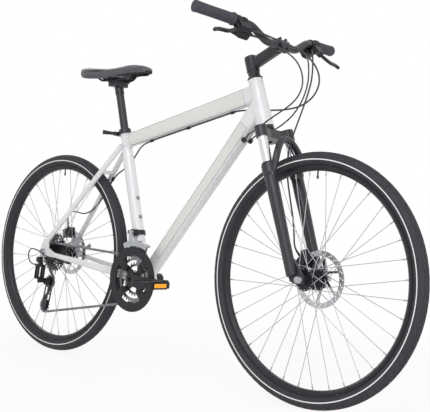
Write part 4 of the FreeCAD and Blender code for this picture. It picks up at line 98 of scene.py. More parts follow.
class Graph:
    """A node tree being built, with a short call for each step that the looks are made of.

    An input of a step is an output socket, which gets linked, or a constant, which gets set.
    """

    def __init__(self, owner: Union[bpy.types.Material, bpy.types.World]) -> None:
        """Starts with the owner's node tree, emptied."""
        owner.use_nodes = True
        self.tree = owner.node_tree
        self.tree.nodes.clear()

    def add(self, kind: str, inputs: Optional[dict[Any, Any]] = None, **settings: Any) -> bpy.types.Node:
        """Adds one node with its settings, its constant inputs and its links.

        Args:
            kind: the node's type name, without the ShaderNode at its front.
            inputs: socket name or number, to an output socket to link or a value to set.
            settings: properties of the node itself.

        Returns:
            The new node.
        """
        made = self.tree.nodes.new("ShaderNode" + kind)
        for key, value in settings.items():
            setattr(made, key, value)
        for socket, source in (inputs or {}).items():
            if isinstance(source, Socket):
                self.tree.links.new(source, made.inputs[socket])
            else:
                made.inputs[socket].default_value = source
        return made

    def place(self) -> Socket:
        """Returns the place on the object, in metres in the CAD frame."""
        return self.add("TexCoord").outputs["Object"]

    def math(self, operation: str, first: Any, second: Any = 0.0) -> Socket:
        """Returns the result of a sum on one or two numbers."""
        return self.add("Math", {0: first, 1: second}, operation=operation).outputs[0]

    def vector(self, operation: str, first: Any, second: Any = (0.0, 0.0, 0.0)) -> Socket:
        """Returns the vector that a sum on one or two vectors gives."""
        return self.add("VectorMath", {0: first, 1: second}, operation=operation).outputs["Vector"]

    def number(self, operation: str, first: Any, second: Any = (0.0, 0.0, 0.0)) -> Socket:
        """Returns the number that a sum on one or two vectors gives."""
        return self.add("VectorMath", {0: first, 1: second}, operation=operation).outputs["Value"]

    def ramp(self, value: Socket, low: float, high: float, start: float = 0.0, end: float = 1.0,
             **settings: Any) -> Socket:
        """Returns start at the value low, end at the value high, and what lies between."""
        spans = {"Value": value, "From Min": low, "From Max": high, "To Min": start, "To Max": end}
        return self.add("MapRange", spans, **settings).outputs["Result"]

    def mix(self, share: Socket, first: Any, second: Any) -> Socket:
        """Returns the first colour where the share is 0 and the second where it is 1."""
        return self.add("Mix", {0: share, 6: first, 7: second}, data_type="RGBA").outputs[2]

    def radius(self, place: Socket, centre: Point) -> Socket:
        """Returns the distance from the line across the bicycle that goes through the centre."""
        arm = self.vector("SUBTRACT", place, centre)
        return self.number("LENGTH", self.vector("MULTIPLY", arm, (1.0, 0.0, 1.0)))

    def seen(self) -> Socket:
        """Returns 1 for what the camera sees, directly or in a reflection, and else 0."""
        ray = self.add("LightPath").outputs
        return self.math("MAXIMUM", ray["Is Camera Ray"], ray["Is Glossy Ray"])


class Relief(Enum):
    """How a surface was made, which sets the small marks that it shows."""

    PEEL = "sprayed and baked paint, faintly dimpled"
    MOULDED = "moulded against a spark-eroded tool"
    BLASTED = "bead-blasted and anodised"
    GROUND = "ground in rings about an axle"
    DRAWN = "drawn or plated bright"
    OILED = "stamped steel with a film of oil"


# The span of heights that noise keeps to, and that of its product with soft clouds
MARKS_SPAN = (0.3, 0.7)
CLOUDS_SPAN = (0.12, 0.42)
# How much smoother the low places are and how much rougher the high ones
ROUGHNESS_DRIFT = (-0.05, 0.06)
BUMP_STRENGTH = 0.7


@dataclass(frozen=True)
class Finish:
    """One material: its colours, how shiny it is, and the marks of its making."""

    name: str
    colour: str
    second: str
    metallic: float
    roughness: float
    relief: Relief
    grain: float
    depth: float
    coat: float = 0.0
    coat_roughness: float = 0.08
    cloud: float = 45.0
    specular: float = 0.5
    centre: Point = (0.0, 0.0, 0.0)

    def marks(self, graph: Graph, place: Socket) -> Socket:
        """Returns the height of the small marks, from 0 to 1.

        Grinding marks are noise along the distance from the axle, and every other kind is noise
        in space, one over the grain's size in metres being its scale.

        Args:
            graph: the material's nodes.
            place: the place on the object.

        Returns:
            The socket with the height.
        """
        fine = {"Scale": 1.0 / (self.grain * MM), "Detail": 3.0}
        if self.relief is Relief.GROUND:
            noise = graph.add("TexNoise", {"W": graph.radius(place, self.centre), **fine},
                              noise_dimensions="1D")
        else:
            noise = graph.add("TexNoise", {"Vector": place, "Roughness": 0.55, **fine})
        return noise.outputs["Fac"]

    def tint(self, graph: Graph, place: Socket, marks: Socket) -> Socket:
        """Returns the colour, which drifts between the two colours in soft clouds.

        Args:
            graph: the material's nodes.
            place: the place on the object.
            marks: the height of the small marks.

        Returns:
            The socket with the colour.
        """
        clouds = graph.add("TexNoise", {"Vector": place, "Scale": 1.0 / (self.cloud * MM), "Detail": 4.0})
        fine = graph.math("MULTIPLY", clouds.outputs["Fac"], marks)
        return graph.mix(graph.ramp(fine, *CLOUDS_SPAN), linear(self.colour), linear(self.second))

    def make(self) -> bpy.types.Material:
        """Builds the material from its colour, its marks and its shine.

        Returns:
            The finished material.
        """
        material = bpy.data.materials.new(self.name)
        graph = Graph(material)
        place = graph.place()
        marks = self.marks(graph, place)
        rough = graph.ramp(marks, *MARKS_SPAN, max(self.roughness + ROUGHNESS_DRIFT[0], 0.02),
                           min(self.roughness + ROUGHNESS_DRIFT[1], 1.0))
        bump = graph.add("Bump", {"Height": marks, "Strength": BUMP_STRENGTH, "Distance": self.depth * MM})
        shader = graph.add("BsdfPrincipled", {
            "Base Color": self.tint(graph, place, marks), "Roughness": rough,
            "Normal": bump.outputs["Normal"], "Metallic": self.metallic, "Coat Weight": self.coat,
            "Coat Roughness": self.coat_roughness, "Specular IOR Level": self.specular,
            **self.extras()})
        graph.add("OutputMaterial", {"Surface": shader.outputs[0]})
        return material

    def extras(self) -> dict[str, Any]:
        """Returns what a special finish sets on the shader beyond the usual."""
        return {}


@dataclass(frozen=True)
class PanelPaint(Finish):
    """Frame enamel with a warm grey panel on each side of a tube, edged by a thin grey line."""

    start: Point = (0.0, 0.0, 0.0)
    end: Point = (1.0, 0.0, 0.0)
    reach: tuple[float, float] = (0.05, 0.95)
    half: tuple[float, float] = (20.0, 24.0)
    lift: float = -3.0
    panel: str = "#e0dfdb"
    line: str = "#8d8d90"
    line_width: float = 1.3
    soft_edge: float = 0.4

    def tint(self, graph: Graph, place: Socket, marks: Socket) -> Socket:
        """Returns the paint's colour: panel inside the outline, line on it, enamel outside.

        The outline is a box along the tube: the distance from a line that lies the lift above the
        tube's middle against the panel's half height, and the share of the way along against the
        panel's ends.

        Args:
            graph: the material's nodes.
            place: the place on the object.
            marks: the height of the small marks.

        Returns:
            The socket with the colour.
        """
        enamel = super().tint(graph, place, marks)
        run = Vector(self.end) - Vector(self.start)
        along = run.normalized()
        across = Vector((-along.z, 0.0, along.x))
        low, high = self.reach
        arm = graph.vector("SUBTRACT", place, self.start)
        share = graph.number("DOT_PRODUCT", arm, along / run.length)
        height = graph.number("DOT_PRODUCT", arm, across)
        level = graph.math("ABSOLUTE", graph.math("SUBTRACT", height, self.lift * MM))
        room = graph.ramp(share, 0.0, 1.0, self.half[0] * MM, self.half[1] * MM)
        away = graph.math("ABSOLUTE", graph.math("SUBTRACT", share, 0.5 * (low + high)))
        left = graph.math("SUBTRACT", 0.5 * (high - low), away)
        inside = graph.math("MINIMUM", graph.math("SUBTRACT", room, level),
                            graph.math("MULTIPLY", left, run.length))
        filled = graph.ramp(inside, 0.0, self.soft_edge * MM)
        within = graph.ramp(inside, self.line_width * MM, (self.line_width + self.soft_edge) * MM)
        return graph.mix(within, graph.mix(filled, enamel, linear(self.line)), linear(self.panel))


@dataclass(frozen=True)
class StripedRubber(Finish):
    """Tyre rubber with a white reflecting line round each side wall."""

    stripe: str = "#f2f2f1"
    stripe_at: float = 96.0
    stripe_half: float = 4.0
    soft_edge: float = 0.8

    def tint(self, graph: Graph, place: Socket, marks: Socket) -> Socket:
        """Returns the rubber's colour, with the line where the UV map's V is the line's angle.

        Args:
            graph: the material's nodes.
            place: the place on the object.
            marks: the height of the small marks.

        Returns:
            The socket with the colour.
        """
        chart = graph.add("UVMap", uv_map="chart")
        across = graph.add("SeparateXYZ", {0: chart.outputs[0]}).outputs["Y"]
        from_crown = graph.math("ABSOLUTE", graph.math("SUBTRACT", across, 0.5))
        apart = graph.math("ABSOLUTE", graph.math("SUBTRACT", from_crown, self.stripe_at / 360.0))
        low, high = self.stripe_half / 360.0, (self.stripe_half + self.soft_edge) / 360.0
        mask = graph.ramp(apart, low, high, 1.0, 0.0)
        return graph.mix(mask, super().tint(graph, place, marks), linear(self.stripe))


@dataclass(frozen=True)
class RingSteel(Finish):
    """Chainring steel: bright on the small rings, blackened beyond a radius."""

    dark: str = "#2a2b2e"
    limit: float = 72.0
    soft_edge: float = 1.0

    def tint(self, graph: Graph, place: Socket, marks: Socket) -> Socket:
        """Returns bright steel inside the limit radius and blackened steel beyond it.

        Args:
            graph: the material's nodes.
            place: the place on the object.
            marks: the height of the small marks.

        Returns:
            The socket with the colour.
        """
        reach = graph.radius(place, self.centre)
        mask = graph.ramp(reach, self.limit * MM, (self.limit + self.soft_edge) * MM)
        return graph.mix(mask, super().tint(graph, place, marks), linear(self.dark))


@dataclass(frozen=True)
class AmberAcrylic(Finish):
    """Pedal reflector: clear amber acrylic over corner prisms, which give light back in small cells; that light
    is a painted glow, a faint even amber emission.
    """

    cell: float = 3.2
    # Painted glow: colour and level of a faint amber emission that stands in for the light the prisms give back,
    # though the reflector is no lamp
    backdrop_and_painted_glow: str = "#ff9c12"
    painted_glow_level: float = 0.35
    refraction: float = 1.49

    def marks(self, graph: Graph, place: Socket) -> Socket:
        """Returns the prisms' height: the distance to the nearest centre of a regular cell.

        Args:
            graph: the material's nodes.
            place: the place on the object.

        Returns:
            The socket with the height.
        """
        cells = graph.add("TexVoronoi", {"Vector": place, "Scale": 1.0 / (self.cell * MM),
                                         "Randomness": 0.0}, distance="MANHATTAN")
        return cells.outputs["Distance"]

    def extras(self) -> dict[str, Any]:
        """Returns acrylic's refraction and a painted glow: amber emission that stands in for the light that the
        prisms give back.
        """
        return {"IOR": self.refraction, "Emission Color": linear(self.backdrop_and_painted_glow),
                "Emission Strength": self.painted_glow_level}


@dataclass(frozen=True)
class SaddleVinyl(Finish):
    """Embossed vinyl: irregular leather-like cells with soft creases between them."""

    def marks(self, graph: Graph, place: Socket) -> Socket:
        """Returns the emboss height: the smooth distance to a cell's centre.

        Args:
            graph: the material's nodes.
            place: the place on the object.

        Returns:
            The socket with the height.
        """
        cells = graph.add("TexVoronoi", {"Vector": place, "Scale": 1.0 / (self.grain * MM),
                                         "Smoothness": 0.6}, feature="SMOOTH_F1")
        return cells.outputs["Distance"]

    def extras(self) -> dict[str, Any]:
        """Returns the faint bloom of a soft coating at grazing angles."""
        return {"Sheen Weight": 0.12, "Sheen Roughness": 0.4}


# Sprayed enamel under clear lacquer: bright white with a crisp reflection over a faint pearl
WHITE = dict(colour="#e9e9eb", second="#dfdfe3", metallic=0.0, roughness=0.34, relief=Relief.PEEL, grain=2.6,
             depth=0.003, coat=0.7, coat_roughness=0.06, cloud=90.0)


class Palette:
    """Every finish of the bicycle, made once and shared by the pieces."""

    def __init__(self) -> None:
        """Makes the materials."""
        self.enamel = Finish("pearl_white_enamel", **WHITE).make()
        self.top_panel = PanelPaint("pearl_white_enamel_top_panel", **WHITE, start=TOP_REAR, end=TOP_FRONT,
                                    reach=(0.055, 0.93), half=(20.5, 25.0)).make()
        self.down_panel = PanelPaint("pearl_white_enamel_down_panel", **WHITE, start=BRACKET, end=DOWN_FRONT,
                                     reach=(0.15, 0.90), half=(12.0, 17.5)).make()
        # Satin powder coat: dark blue-black with a broad soft highlight
        self.powder = Finish("satin_black_powder_coat", "#222328", "#2b2c32", 0.0, 0.40, Relief.PEEL, 0.9, 0.02,
                             coat=0.15, coat_roughness=0.25, specular=0.4).make()
        # Bead-blasted black anodising: metal sheen under a dark dye
        self.anodised = Finish("black_anodised_aluminium", "#26272a", "#303136", 0.55, 0.40, Relief.BLASTED, 0.5,
                               0.012).make()
        # Cast magnesium under black paint: slightly rough, soft highlight
        self.magnesium = Finish("painted_magnesium_casting", "#222328", "#2c2d33", 0.0, 0.36, Relief.PEEL, 1.4,
                                0.03, coat=0.25, coat_roughness=0.2, specular=0.4).make()
        # Hard chrome: mirror with almost no scatter
        self.chrome = Finish("hard_chrome_plate", "#dcdde0", "#d2d3d7", 1.0, 0.09, Relief.DRAWN, 1.2,
                             0.001).make()
        # Stainless wire: bright, drawn lengthwise
        self.wire = Finish("stainless_spoke_wire", "#b6b8bb", "#a6a8ab", 1.0, 0.26, Relief.DRAWN, 0.6,
                           0.003).make()
        # Zinc-plated or stainless small parts: satin silver
        self.steel = Finish("satin_stainless_steel", "#b9bbbf", "#a7a9ad", 1.0, 0.30, Relief.BLASTED, 0.7,
                            0.006).make()
        # Stamped steel with a dark phosphate: grey-black
        self.dark_steel = Finish("phosphated_steel", "#3c3d40", "#4a4b4f", 0.8, 0.42, Relief.BLASTED, 0.8,
                                 0.008).make()
        # Oiled chain: grey plates, darker where oil and dust collect
        self.chain = Finish("oiled_chain_steel", "#8d8e91", "#6c6d70", 0.9, 0.36, Relief.OILED, 1.6, 0.01,
                            cloud=9.0).make()
        # Browned steel cogs: dark grey with bright worn clouds
        self.cogs = Finish("browned_steel_cogs", "#58595c", "#727376", 1.0, 0.34, Relief.OILED, 1.2, 0.006,
                           cloud=14.0).make()
        # Stamped rings: the small ones bright, the large one blackened
        self.rings = RingSteel("stamped_chainring_steel", "#8f9093", "#77787b", 0.85, 0.34, Relief.GROUND, 0.8,
                               0.006, centre=BRACKET).make()
        # Glass-filled nylon: matt black with a fine tool texture
        self.nylon = Finish("moulded_black_nylon", "#1d1e22", "#26272c", 0.0, 0.5, Relief.MOULDED, 0.7,
                            0.025, specular=0.35).make()
        # Soft grip compound: dull dark grey
        self.grip = Finish("grip_rubber", "#3f4046", "#484950", 0.0, 0.72, Relief.MOULDED, 0.8, 0.03,
                           specular=0.35).make()
        # Vulcanised tread rubber: dull charcoal with a reflecting line
        self.tyre = StripedRubber("vulcanised_tyre_rubber", "#2e2f33", "#38393e", 0.0, 0.64, Relief.MOULDED, 1.1,
                                  0.05, cloud=30.0, specular=0.35).make()
        # Extruded cable jacket: smooth black with a sharp small highlight
        self.jacket = Finish("extruded_cable_jacket", "#2a2b2e", "#35363a", 0.0, 0.36, Relief.MOULDED, 1.5,
                             0.01).make()
        # Stretched vinyl: soft mid grey sheen broken up by the emboss
        self.vinyl = SaddleVinyl("embossed_saddle_vinyl", "#47484e", "#505157", 0.0, 0.44, Relief.MOULDED, 1.5,
                                 0.05).make()
        # Acrylic reflector: amber with a painted glow, a faint emission for the light it gives back, and prisms
        # below a glossy face
        self.amber = AmberAcrylic("amber_acrylic_reflector_painted_glow", "#ffb22c", "#f79a12", 0.0, 0.14, Relief.MOULDED,
                                  1.0, 0.5, coat=0.6).make()
        # Ground stainless disc: bright rings about the axle
        self.front_disc = Finish("ground_stainless_disc_front", "#c6c8ca", "#b4b6b9", 1.0, 0.27, Relief.GROUND,
                                 0.5, 0.006, centre=FRONT_AXLE).make()
        self.rear_disc = Finish("ground_stainless_disc_rear", "#c6c8ca", "#b4b6b9", 1.0, 0.27, Relief.GROUND,
                                0.5, 0.006, centre=REAR_AXLE).make()

    def by_node(self) -> dict[str, bpy.types.Material]:
        """Returns the material of each CAD node that stays in the picture."""
        groups: dict[bpy.types.Material, str] = {
            self.enamel: "head_tube seat_tube chain_stays seat_stays",
            self.top_panel: "top_tube",
            self.down_panel: "down_tube",
            self.powder: "stem handlebar seat_post seat_clamp stem_hardware bearing_cups",
            self.anodised: "front_rim rear_rim front_hub rear_hub rear_caliper front_caliper right_crank "
                           "left_crank right_brake_lever left_brake_lever derailleur_outer_link "
                           "derailleur_inner_link seat_clamp_lever front_derailleur_clamp",
            self.magnesium: "fork_crown fork_lowers",
            self.chrome: "stanchions",
            self.wire: "front_spokes rear_spokes",
            self.steel: "rear_axle front_axle front_skewer_lever rear_skewer_lever front_derailleur_cage",
            self.dark_steel: "derailleur_cage",
            self.chain: "chain",
            self.cogs: "cassette",
            self.rings: "chainrings",
            self.nylon: "chain_guard right_pedal left_pedal control_pods derailleur_knuckle derailleur_pivot "
                        "guide_pulley tension_pulley right_shift_lever left_shift_lever saddle_base "
                        "frame_fittings",
            self.grip: "grips",
            self.tyre: "front_tyre rear_tyre",
            self.jacket: "brake_hoses gear_cables",
            self.vinyl: "saddle_cover",
            self.front_disc: "front_rotor",
            self.rear_disc: "rear_rotor",
        }
        return {name: material for material, names in groups.items() for name in names.split()}


def dress(piece: bpy.types.Object, *materials: bpy.types.Material) -> None:
    """Gives a piece its materials, in the order of its material slots."""
    piece.data.materials.clear()
    for material in materials:
        piece.data.materials.append(material)


def placed(name: str, data: bpy.types.ID) -> bpy.types.Object:
    """Puts a new object with the data into the scene, at the origin."""
    made = bpy.data.objects.new(name, data)
    bpy.context.scene.collection.objects.link(made)
    return made


# Surfaces

# How many directions are tried for a sweep's guide
GUIDES = 240


def mesh_points(mesh: bpy.types.Mesh) -> Array:
    """Returns the mesh's vertices as rows."""
    flat = np.zeros(len(mesh.vertices) * 3, np.float32)
    mesh.vertices.foreach_get("co", flat)
    return flat.reshape(-1, 3).astype(float)


def lengths(path: Array) -> Array:
    """Returns the way gone along a path at each of its points."""
    return np.concatenate([[0.0], np.cumsum(np.linalg.norm(np.diff(path, axis=0), axis=1))])


def at_lengths(path: Array, stations: Array) -> Array:
    """Returns the points at the given ways along a path."""
    reach = lengths(path)
    return np.stack([np.interp(stations, reach, path[:, k]) for k in range(3)], -1)


def unit(vectors: Array) -> Array:
    """Returns the vectors at length one."""
    vectors = np.asarray(vectors, float)
    return vectors / np.linalg.norm(vectors, axis=-1, keepdims=True)


def smooth(low: float, high: float, values: Array) -> Array:
    """Returns a soft step from 0 at low to 1 at high: three t squared less two t cubed."""
    share = np.clip((values - low) / (high - low), 0.0, 1.0)
    return share * share * (3.0 - 2.0 * share)


def square_to(way: Sequence[float]) -> tuple[Array, Array]:
    """Finds two directions that are square to an axis and to each other.

    Args:
        way: the axis.

    Returns:
        The two directions, which with the axis are right-handed.
    """
    axis = unit(np.asarray(way, float))
    helper = np.eye(3)[int(np.argmin(np.abs(axis)))]
    first = unit(np.cross(helper, axis))
    return first, np.cross(axis, first)


def circle(way: Sequence[float], sides: int) -> Array:
    """Returns directions square to an axis, evenly spaced round it."""
    first, second = square_to(way)
    angle = np.linspace(0.0, TURN, sides, endpoint=False)
    return np.cos(angle)[:, None] * first + np.sin(angle)[:, None] * second


class PieceMesh:
    """Gathers grid surfaces and makes one Blender piece of them."""

    def __init__(self, name: str) -> None:
        """Starts an empty piece."""
        self.name = name
        self.points: list[Array] = []
        self.faces: list[list[int]] = []
        self.chart: list[Array] = []
        self.slots: list[Array] = []
        self.count = 0

    def add(self, grid: Array, wrap_rows: bool = False, wrap_cols: bool = True, caps: bool = True,
            u: Optional[Array] = None, v: Optional[Array] = None, slot: int = 0) -> None:
        """Adds one grid surface, its faces turned outwards.

        Neighbouring grid points make quads. The sum of the tetrahedra that the faces make with
        the grid's middle is the volume, and where that is negative the faces are turned round.

        Args:
            grid: points by row and column.
            wrap_rows: the last row joins the first.
            wrap_cols: the last column joins the first.
            caps: the first and the last row are closed by a face.
            u: chart values along the rows, one more than the rows where they wrap.
            v: chart values along the columns, one more than the columns where they wrap.
            slot: the material slot.
        """
        rows, cols = grid.shape[:2]
        i, j = np.meshgrid(np.arange(rows if wrap_rows else rows - 1),
                           np.arange(cols if wrap_cols else cols - 1), indexing="ij")
        step_i = np.stack([i, i, i + 1, i + 1], -1).reshape(-1, 4)
        step_j = np.stack([j, j + 1, j + 1, j], -1).reshape(-1, 4)
        quads = (step_i % rows) * cols + step_j % cols
        u = np.linspace(0.0, 1.0, rows + 1) if u is None else u
        v = np.linspace(0.0, 1.0, cols + 1) if v is None else v
        chart = np.stack([u[step_i], v[step_j]], -1)
        flat = grid.reshape(-1, 3)
        closing = []
        if caps and not wrap_rows:
            closing = [np.arange(cols)[::-1], np.arange(cols) + (rows - 1) * cols]
        arms = flat - flat.mean(0)
        a, b, c, d = (arms[quads[:, k]] for k in range(4))
        volume = np.einsum("ij,ij->", a, np.cross(b, c)) + np.einsum("ij,ij->", a, np.cross(c, d))
        if volume < 0.0:
            quads, chart = quads[:, ::-1], chart[:, ::-1]
            closing = [ring[::-1] for ring in closing]
        self.points.append(flat)
        self.faces += (quads + self.count).tolist() + [(ring + self.count).tolist() for ring in closing]
        ends = [np.stack([np.full(cols, u[0]), v[:cols]], -1)] * len(closing)
        self.chart += [chart.reshape(-1, 2)] + ends
        self.slots.append(np.full(len(quads) + len(closing), slot))
        self.count += len(flat)

    def make(self, *materials: bpy.types.Material, crease: float = 40.0) -> bpy.types.Object:
        """Makes the Blender object, smooth but for edges sharper than the crease angle.

        Args:
            materials: one material for each slot.
            crease: angle in degrees beyond which an edge stays sharp.

        Returns:
            The piece, at the origin.
        """
        mesh = bpy.data.meshes.new(self.name)
        mesh.from_pydata(np.concatenate(self.points).tolist(), [], self.faces)
        layer = mesh.uv_layers.new(name="chart")
        layer.data.foreach_set("uv", np.concatenate(self.chart).astype(np.float32).ravel())
        mesh.polygons.foreach_set("material_index", np.concatenate(self.slots).astype(np.int32))
        mesh.shade_smooth()
        mesh.set_sharp_from_angle(angle=math.radians(crease))
        mesh.update()
        piece = placed(self.name, mesh)
        dress(piece, *materials)
        log.info("piece %s: %d faces", self.name, len(self.faces))
        return piece


def turned(profile: Sequence[tuple[float, float]], origin: Sequence[float], way: Sequence[float],
           sides: int = 24) -> Array:
    """Turns a profile about an axis.

    Each point is the origin, plus the axis times the profile's height, plus the radius times the
    direction at each angle.

    Args:
        profile: radius and height pairs, in millimetres.
        origin: the point of height 0, in metres.
        way: the axis.
        sides: points round the axis.

    Returns:
        Points by profile station and angle.
    """
    shape = np.asarray(profile, float) * MM
    return (np.asarray(origin, float) + shape[:, 1, None, None] * unit(way)
            + shape[:, 0, None, None] * circle(way, sides)[None])


def swept(path: Array, radii: Array, sides: int = 12, closed: bool = False) -> Array:
    """Carries a circle along a path.

    At each station the circle lies square to the path's direction. Its zero is square to the one
    direction, out of many, that the path never comes near, so the circles don't twist.

    Args:
        path: points of the middle line, in metres.
        radii: one radius for each point, in metres.
        sides: points round the circle.
        closed: the path's last point leads to its first.

    Returns:
        Points by station and angle.
    """
    if closed:
        tangent = unit(np.roll(path, -1, 0) - np.roll(path, 1, 0))
    else:
        tangent = unit(np.gradient(path, axis=0))
    turns = np.arange(GUIDES) + 0.5
    height = 1.0 - 2.0 * turns / GUIDES
    spread = np.sqrt(np.clip(1.0 - height ** 2, 0.0, 1.0))
    bearing = turns * GOLDEN_TURN
    guides = np.stack([spread * np.cos(bearing), spread * np.sin(bearing), height], -1)
    guide = guides[np.argmin(np.abs(tangent @ guides.T).max(0))]
    first = unit(np.cross(tangent, guide))
    second = np.cross(tangent, first)
    angle = np.linspace(0.0, TURN, sides, endpoint=False)
    ring = np.cos(angle)[None, :, None] * first[:, None] + np.sin(angle)[None, :, None] * second[:, None]
    return path[:, None] + np.asarray(radii, float)[:, None, None] * ring


# Studio


@dataclass
class Studio:
    """White sweep, soft lamps and the camera at the photograph's place."""

    eye: Point = (1.9050, -1.9084, 0.4918)
    azimuth: float = 42.06
    elevation: float = -1.09
    roll: float = 3.47
    lens: float = 71.0
    world_level: float = 0.62
    floor_glow: tuple[float, float] = (0.88, 1.0)
    floor_fade: tuple[float, float] = (0.9, 2.6)
    floor_half: float = 14.0
    floor_level: float = -0.0004
    paper_tone: tuple[float, float] = (0.90, 0.92)
    paper_fibre: float = 40.0
    white: tuple[float, float, float, float] = (1.0, 1.0, 1.0, 1.0)
    lit: Point = (0.0, 0.0, 0.5)
    lamps: tuple[tuple[str, Point, float, float], ...] = (
        ("key_softbox", (1.6, -2.6, 2.6), 2.4, 42.0),
        ("rear_softbox", (-2.4, 1.4, 1.8), 1.8, 15.0),
        ("front_fill", (3.2, -0.9, 0.8), 1.3, 16.0),
    )

    def camera(self) -> None:
        """Puts the camera where the photograph was taken from, with its slight roll."""
        a, e, r = (math.radians(x) for x in (self.azimuth, self.elevation, self.roll))
        back = Vector((math.sin(a) * math.cos(e), -math.cos(a) * math.cos(e), math.sin(e)))
        right = Vector((math.cos(a), math.sin(a), 0.0))
        upward = back.cross(right)
        across = right * math.cos(r) + upward * math.sin(r)
        top = upward * math.cos(r) - right * math.sin(r)
        data = bpy.data.cameras.new("photo_camera")
        data.lens, data.sensor_width, data.sensor_fit = self.lens, 36.0, "AUTO"
        data.clip_start, data.clip_end = 0.05, 60.0
        eye = placed("photo_camera", data)
        turn = Matrix((across, top, back)).transposed().to_4x4()
        eye.matrix_world = Matrix.Translation(Vector(self.eye)) @ turn
        bpy.context.scene.camera = eye

    def light(self) -> None:
        """Lights the bicycle evenly and shows plain white behind it and in its reflections."""
        world = bpy.data.worlds.new("white_sweep")
        bpy.context.scene.world = world
        graph = Graph(world)
        through = graph.add("LightPath").outputs["Is Transmission Ray"]
        shown = graph.math("MAXIMUM", graph.seen(), through)
        level = graph.ramp(shown, 0.0, 1.0, self.world_level, 1.0)
        backdrop_and_painted_glow = graph.add("Background", {"Color": self.white, "Strength": level})
        graph.add("OutputWorld", {"Surface": backdrop_and_painted_glow.outputs[0]})
        for name, at, size, power in self.lamps:
            data = bpy.data.lights.new(name, "AREA")
            data.energy, data.size, data.shape = power, size, "DISK"
            lamp = placed(name, data)
            lamp.location = at
            lamp.rotation_mode = "QUATERNION"
            lamp.rotation_quaternion = (Vector(self.lit) - Vector(at)).to_track_quat("-Z", "Y")

    def floor(self) -> None:
        """Lays a pale floor that keeps the bicycle's soft shadow.

        To the camera it is part paper and part plain white, and all white beyond the fade's end, so
        no horizon shows.
        """
        sheet = PieceMesh("studio_floor")
        reach = np.linspace(-self.floor_half, self.floor_half, 8)
        x, y = np.meshgrid(reach, reach, indexing="ij")
        sheet.add(np.stack([x, y, np.full_like(x, self.floor_level)], -1), wrap_cols=False, caps=False)
        material = bpy.data.materials.new("matt_white_sweep_paper")
        graph = Graph(material)
        place = graph.place()
        fibre = graph.add("TexNoise", {"Vector": place, "Scale": 1.0 / (self.paper_fibre * MM),
                                       "Detail": 5.0})
        tone = graph.ramp(fibre.outputs["Fac"], 0.0, 1.0, *self.paper_tone)
        paper = graph.add("BsdfDiffuse", {"Color": tone})
        backdrop_and_painted_glow = graph.add("Emission", {"Color": self.white, "Strength": 1.0})
        away = graph.number("LENGTH", place)
        white = graph.ramp(away, *self.floor_fade, *self.floor_glow, interpolation_type="SMOOTHSTEP")
        share = graph.math("MULTIPLY", graph.seen(), white)
        mixed = graph.add("MixShader", {0: share, 1: paper.outputs[0], 2: backdrop_and_painted_glow.outputs[0]})
        graph.add("OutputMaterial", {"Surface": mixed.outputs[0]})
        sheet.make(material)

    def build(self) -> None:
        """Sets up camera, lamps, floor and plain colour."""
        self.camera()
        self.light()
        self.floor()
        bpy.context.scene.view_settings.view_transform = "Standard"


# Cords


@dataclass
class Cord:
    """One hose or cable housing: a smooth line on the CAD route, with a fitting at each end."""

    name: str
    route: tuple[Point, ...]
    length: float
    diameter: float
    node: str
    slot: str
    bodies: tuple[str, ...]
    bend: Optional[tuple[Point, Point]] = None
    boots: tuple[float, float] = (14.0, 14.0)
    boot_radius: float = 3.4
    boot_clearance: float = 0.3
    sides: int = 12
    steps: int = 14
    same_point: float = 1e-6

    def line(self) -> Array:
        """Returns points along the NURBS spline whose control points are the route."""
        curve = bpy.data.curves.new(self.name + "_line", "CURVE")
        curve.dimensions = "3D"
        spline = curve.splines.new("NURBS")
        spline.points.add(len(self.route) - 1)
        control = np.concatenate([np.array(self.route, float), np.ones((len(self.route), 1))], 1)
        spline.points.foreach_set("co", control.astype(np.float32).ravel())
        spline.order_u = 3
        spline.use_endpoint_u = True
        spline.resolution_u = self.steps
        holder = bpy.data.objects.new(self.name + "_line", curve)
        mesh = bpy.data.meshes.new_from_object(holder)
        path = mesh_points(mesh)
        bpy.data.objects.remove(holder)
        bpy.data.curves.remove(curve)
        bpy.data.meshes.remove(mesh)
        apart = np.append(True, np.linalg.norm(np.diff(path, axis=0), axis=1) > self.same_point)
        return path[apart]

    def boot(self, path: Array, size: float, label: str, body: str,
             cap: bpy.types.Material) -> bpy.types.Object:
        """Makes the fitting on one end: a stepped sleeve that tapers to the jacket.

        The sleeve's radius is the boot's up to half its length, then falls in two soft steps.

        Args:
            path: the cord's line, from that end.
            size: the sleeve's length in millimetres.
            label: the piece's name.
            body: the CAD body that it rides on.
            cap: its material.

        Returns:
            The fitting.
        """
        station = np.linspace(0.0, size * MM, 18)
        share = station / station[-1]
        fall = 0.45 * smooth(0.45, 0.55, share) + 0.55 * smooth(0.75, 1.0, share)
        jacket = 0.5 * self.diameter + self.boot_clearance * MM
        radii = jacket + (self.boot_radius * MM - jacket) * (1.0 - fall)
        sleeve = PieceMesh(label)
        sleeve.add(swept(at_lengths(path, station), radii, 16))
        piece = sleeve.make(cap)
        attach(piece, body)
        return piece

    def build(self, jacket: bpy.types.Material, cap: bpy.types.Material) -> None:
        """Makes the cord and its two fittings, fastens each fitting to its body, and fastens the cord to its
        first body only where it has no bend; a cord with a bend stays where it is made.

        Args:
            jacket: the cord's material.
            cap: the fittings' material.
        """
        path = self.line()
        tube = PieceMesh(self.name)
        reach = lengths(path)
        tube.add(swept(path, np.full(len(path), 0.5 * self.diameter), self.sides),
                 u=np.append(reach, reach[-1]), v=np.linspace(0.0, math.pi * self.diameter, self.sides + 1))
        piece = tube.make(jacket)
        ends = [self.boot(path, self.boots[0], self.name + "_first_fitting", self.bodies[0], cap),
                self.boot(path[::-1], self.boots[1], self.name + "_last_fitting", self.bodies[-1], cap)]
        if self.bend:
            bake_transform(piece)
        else:
            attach(piece, self.bodies[0])
        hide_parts(self.node)


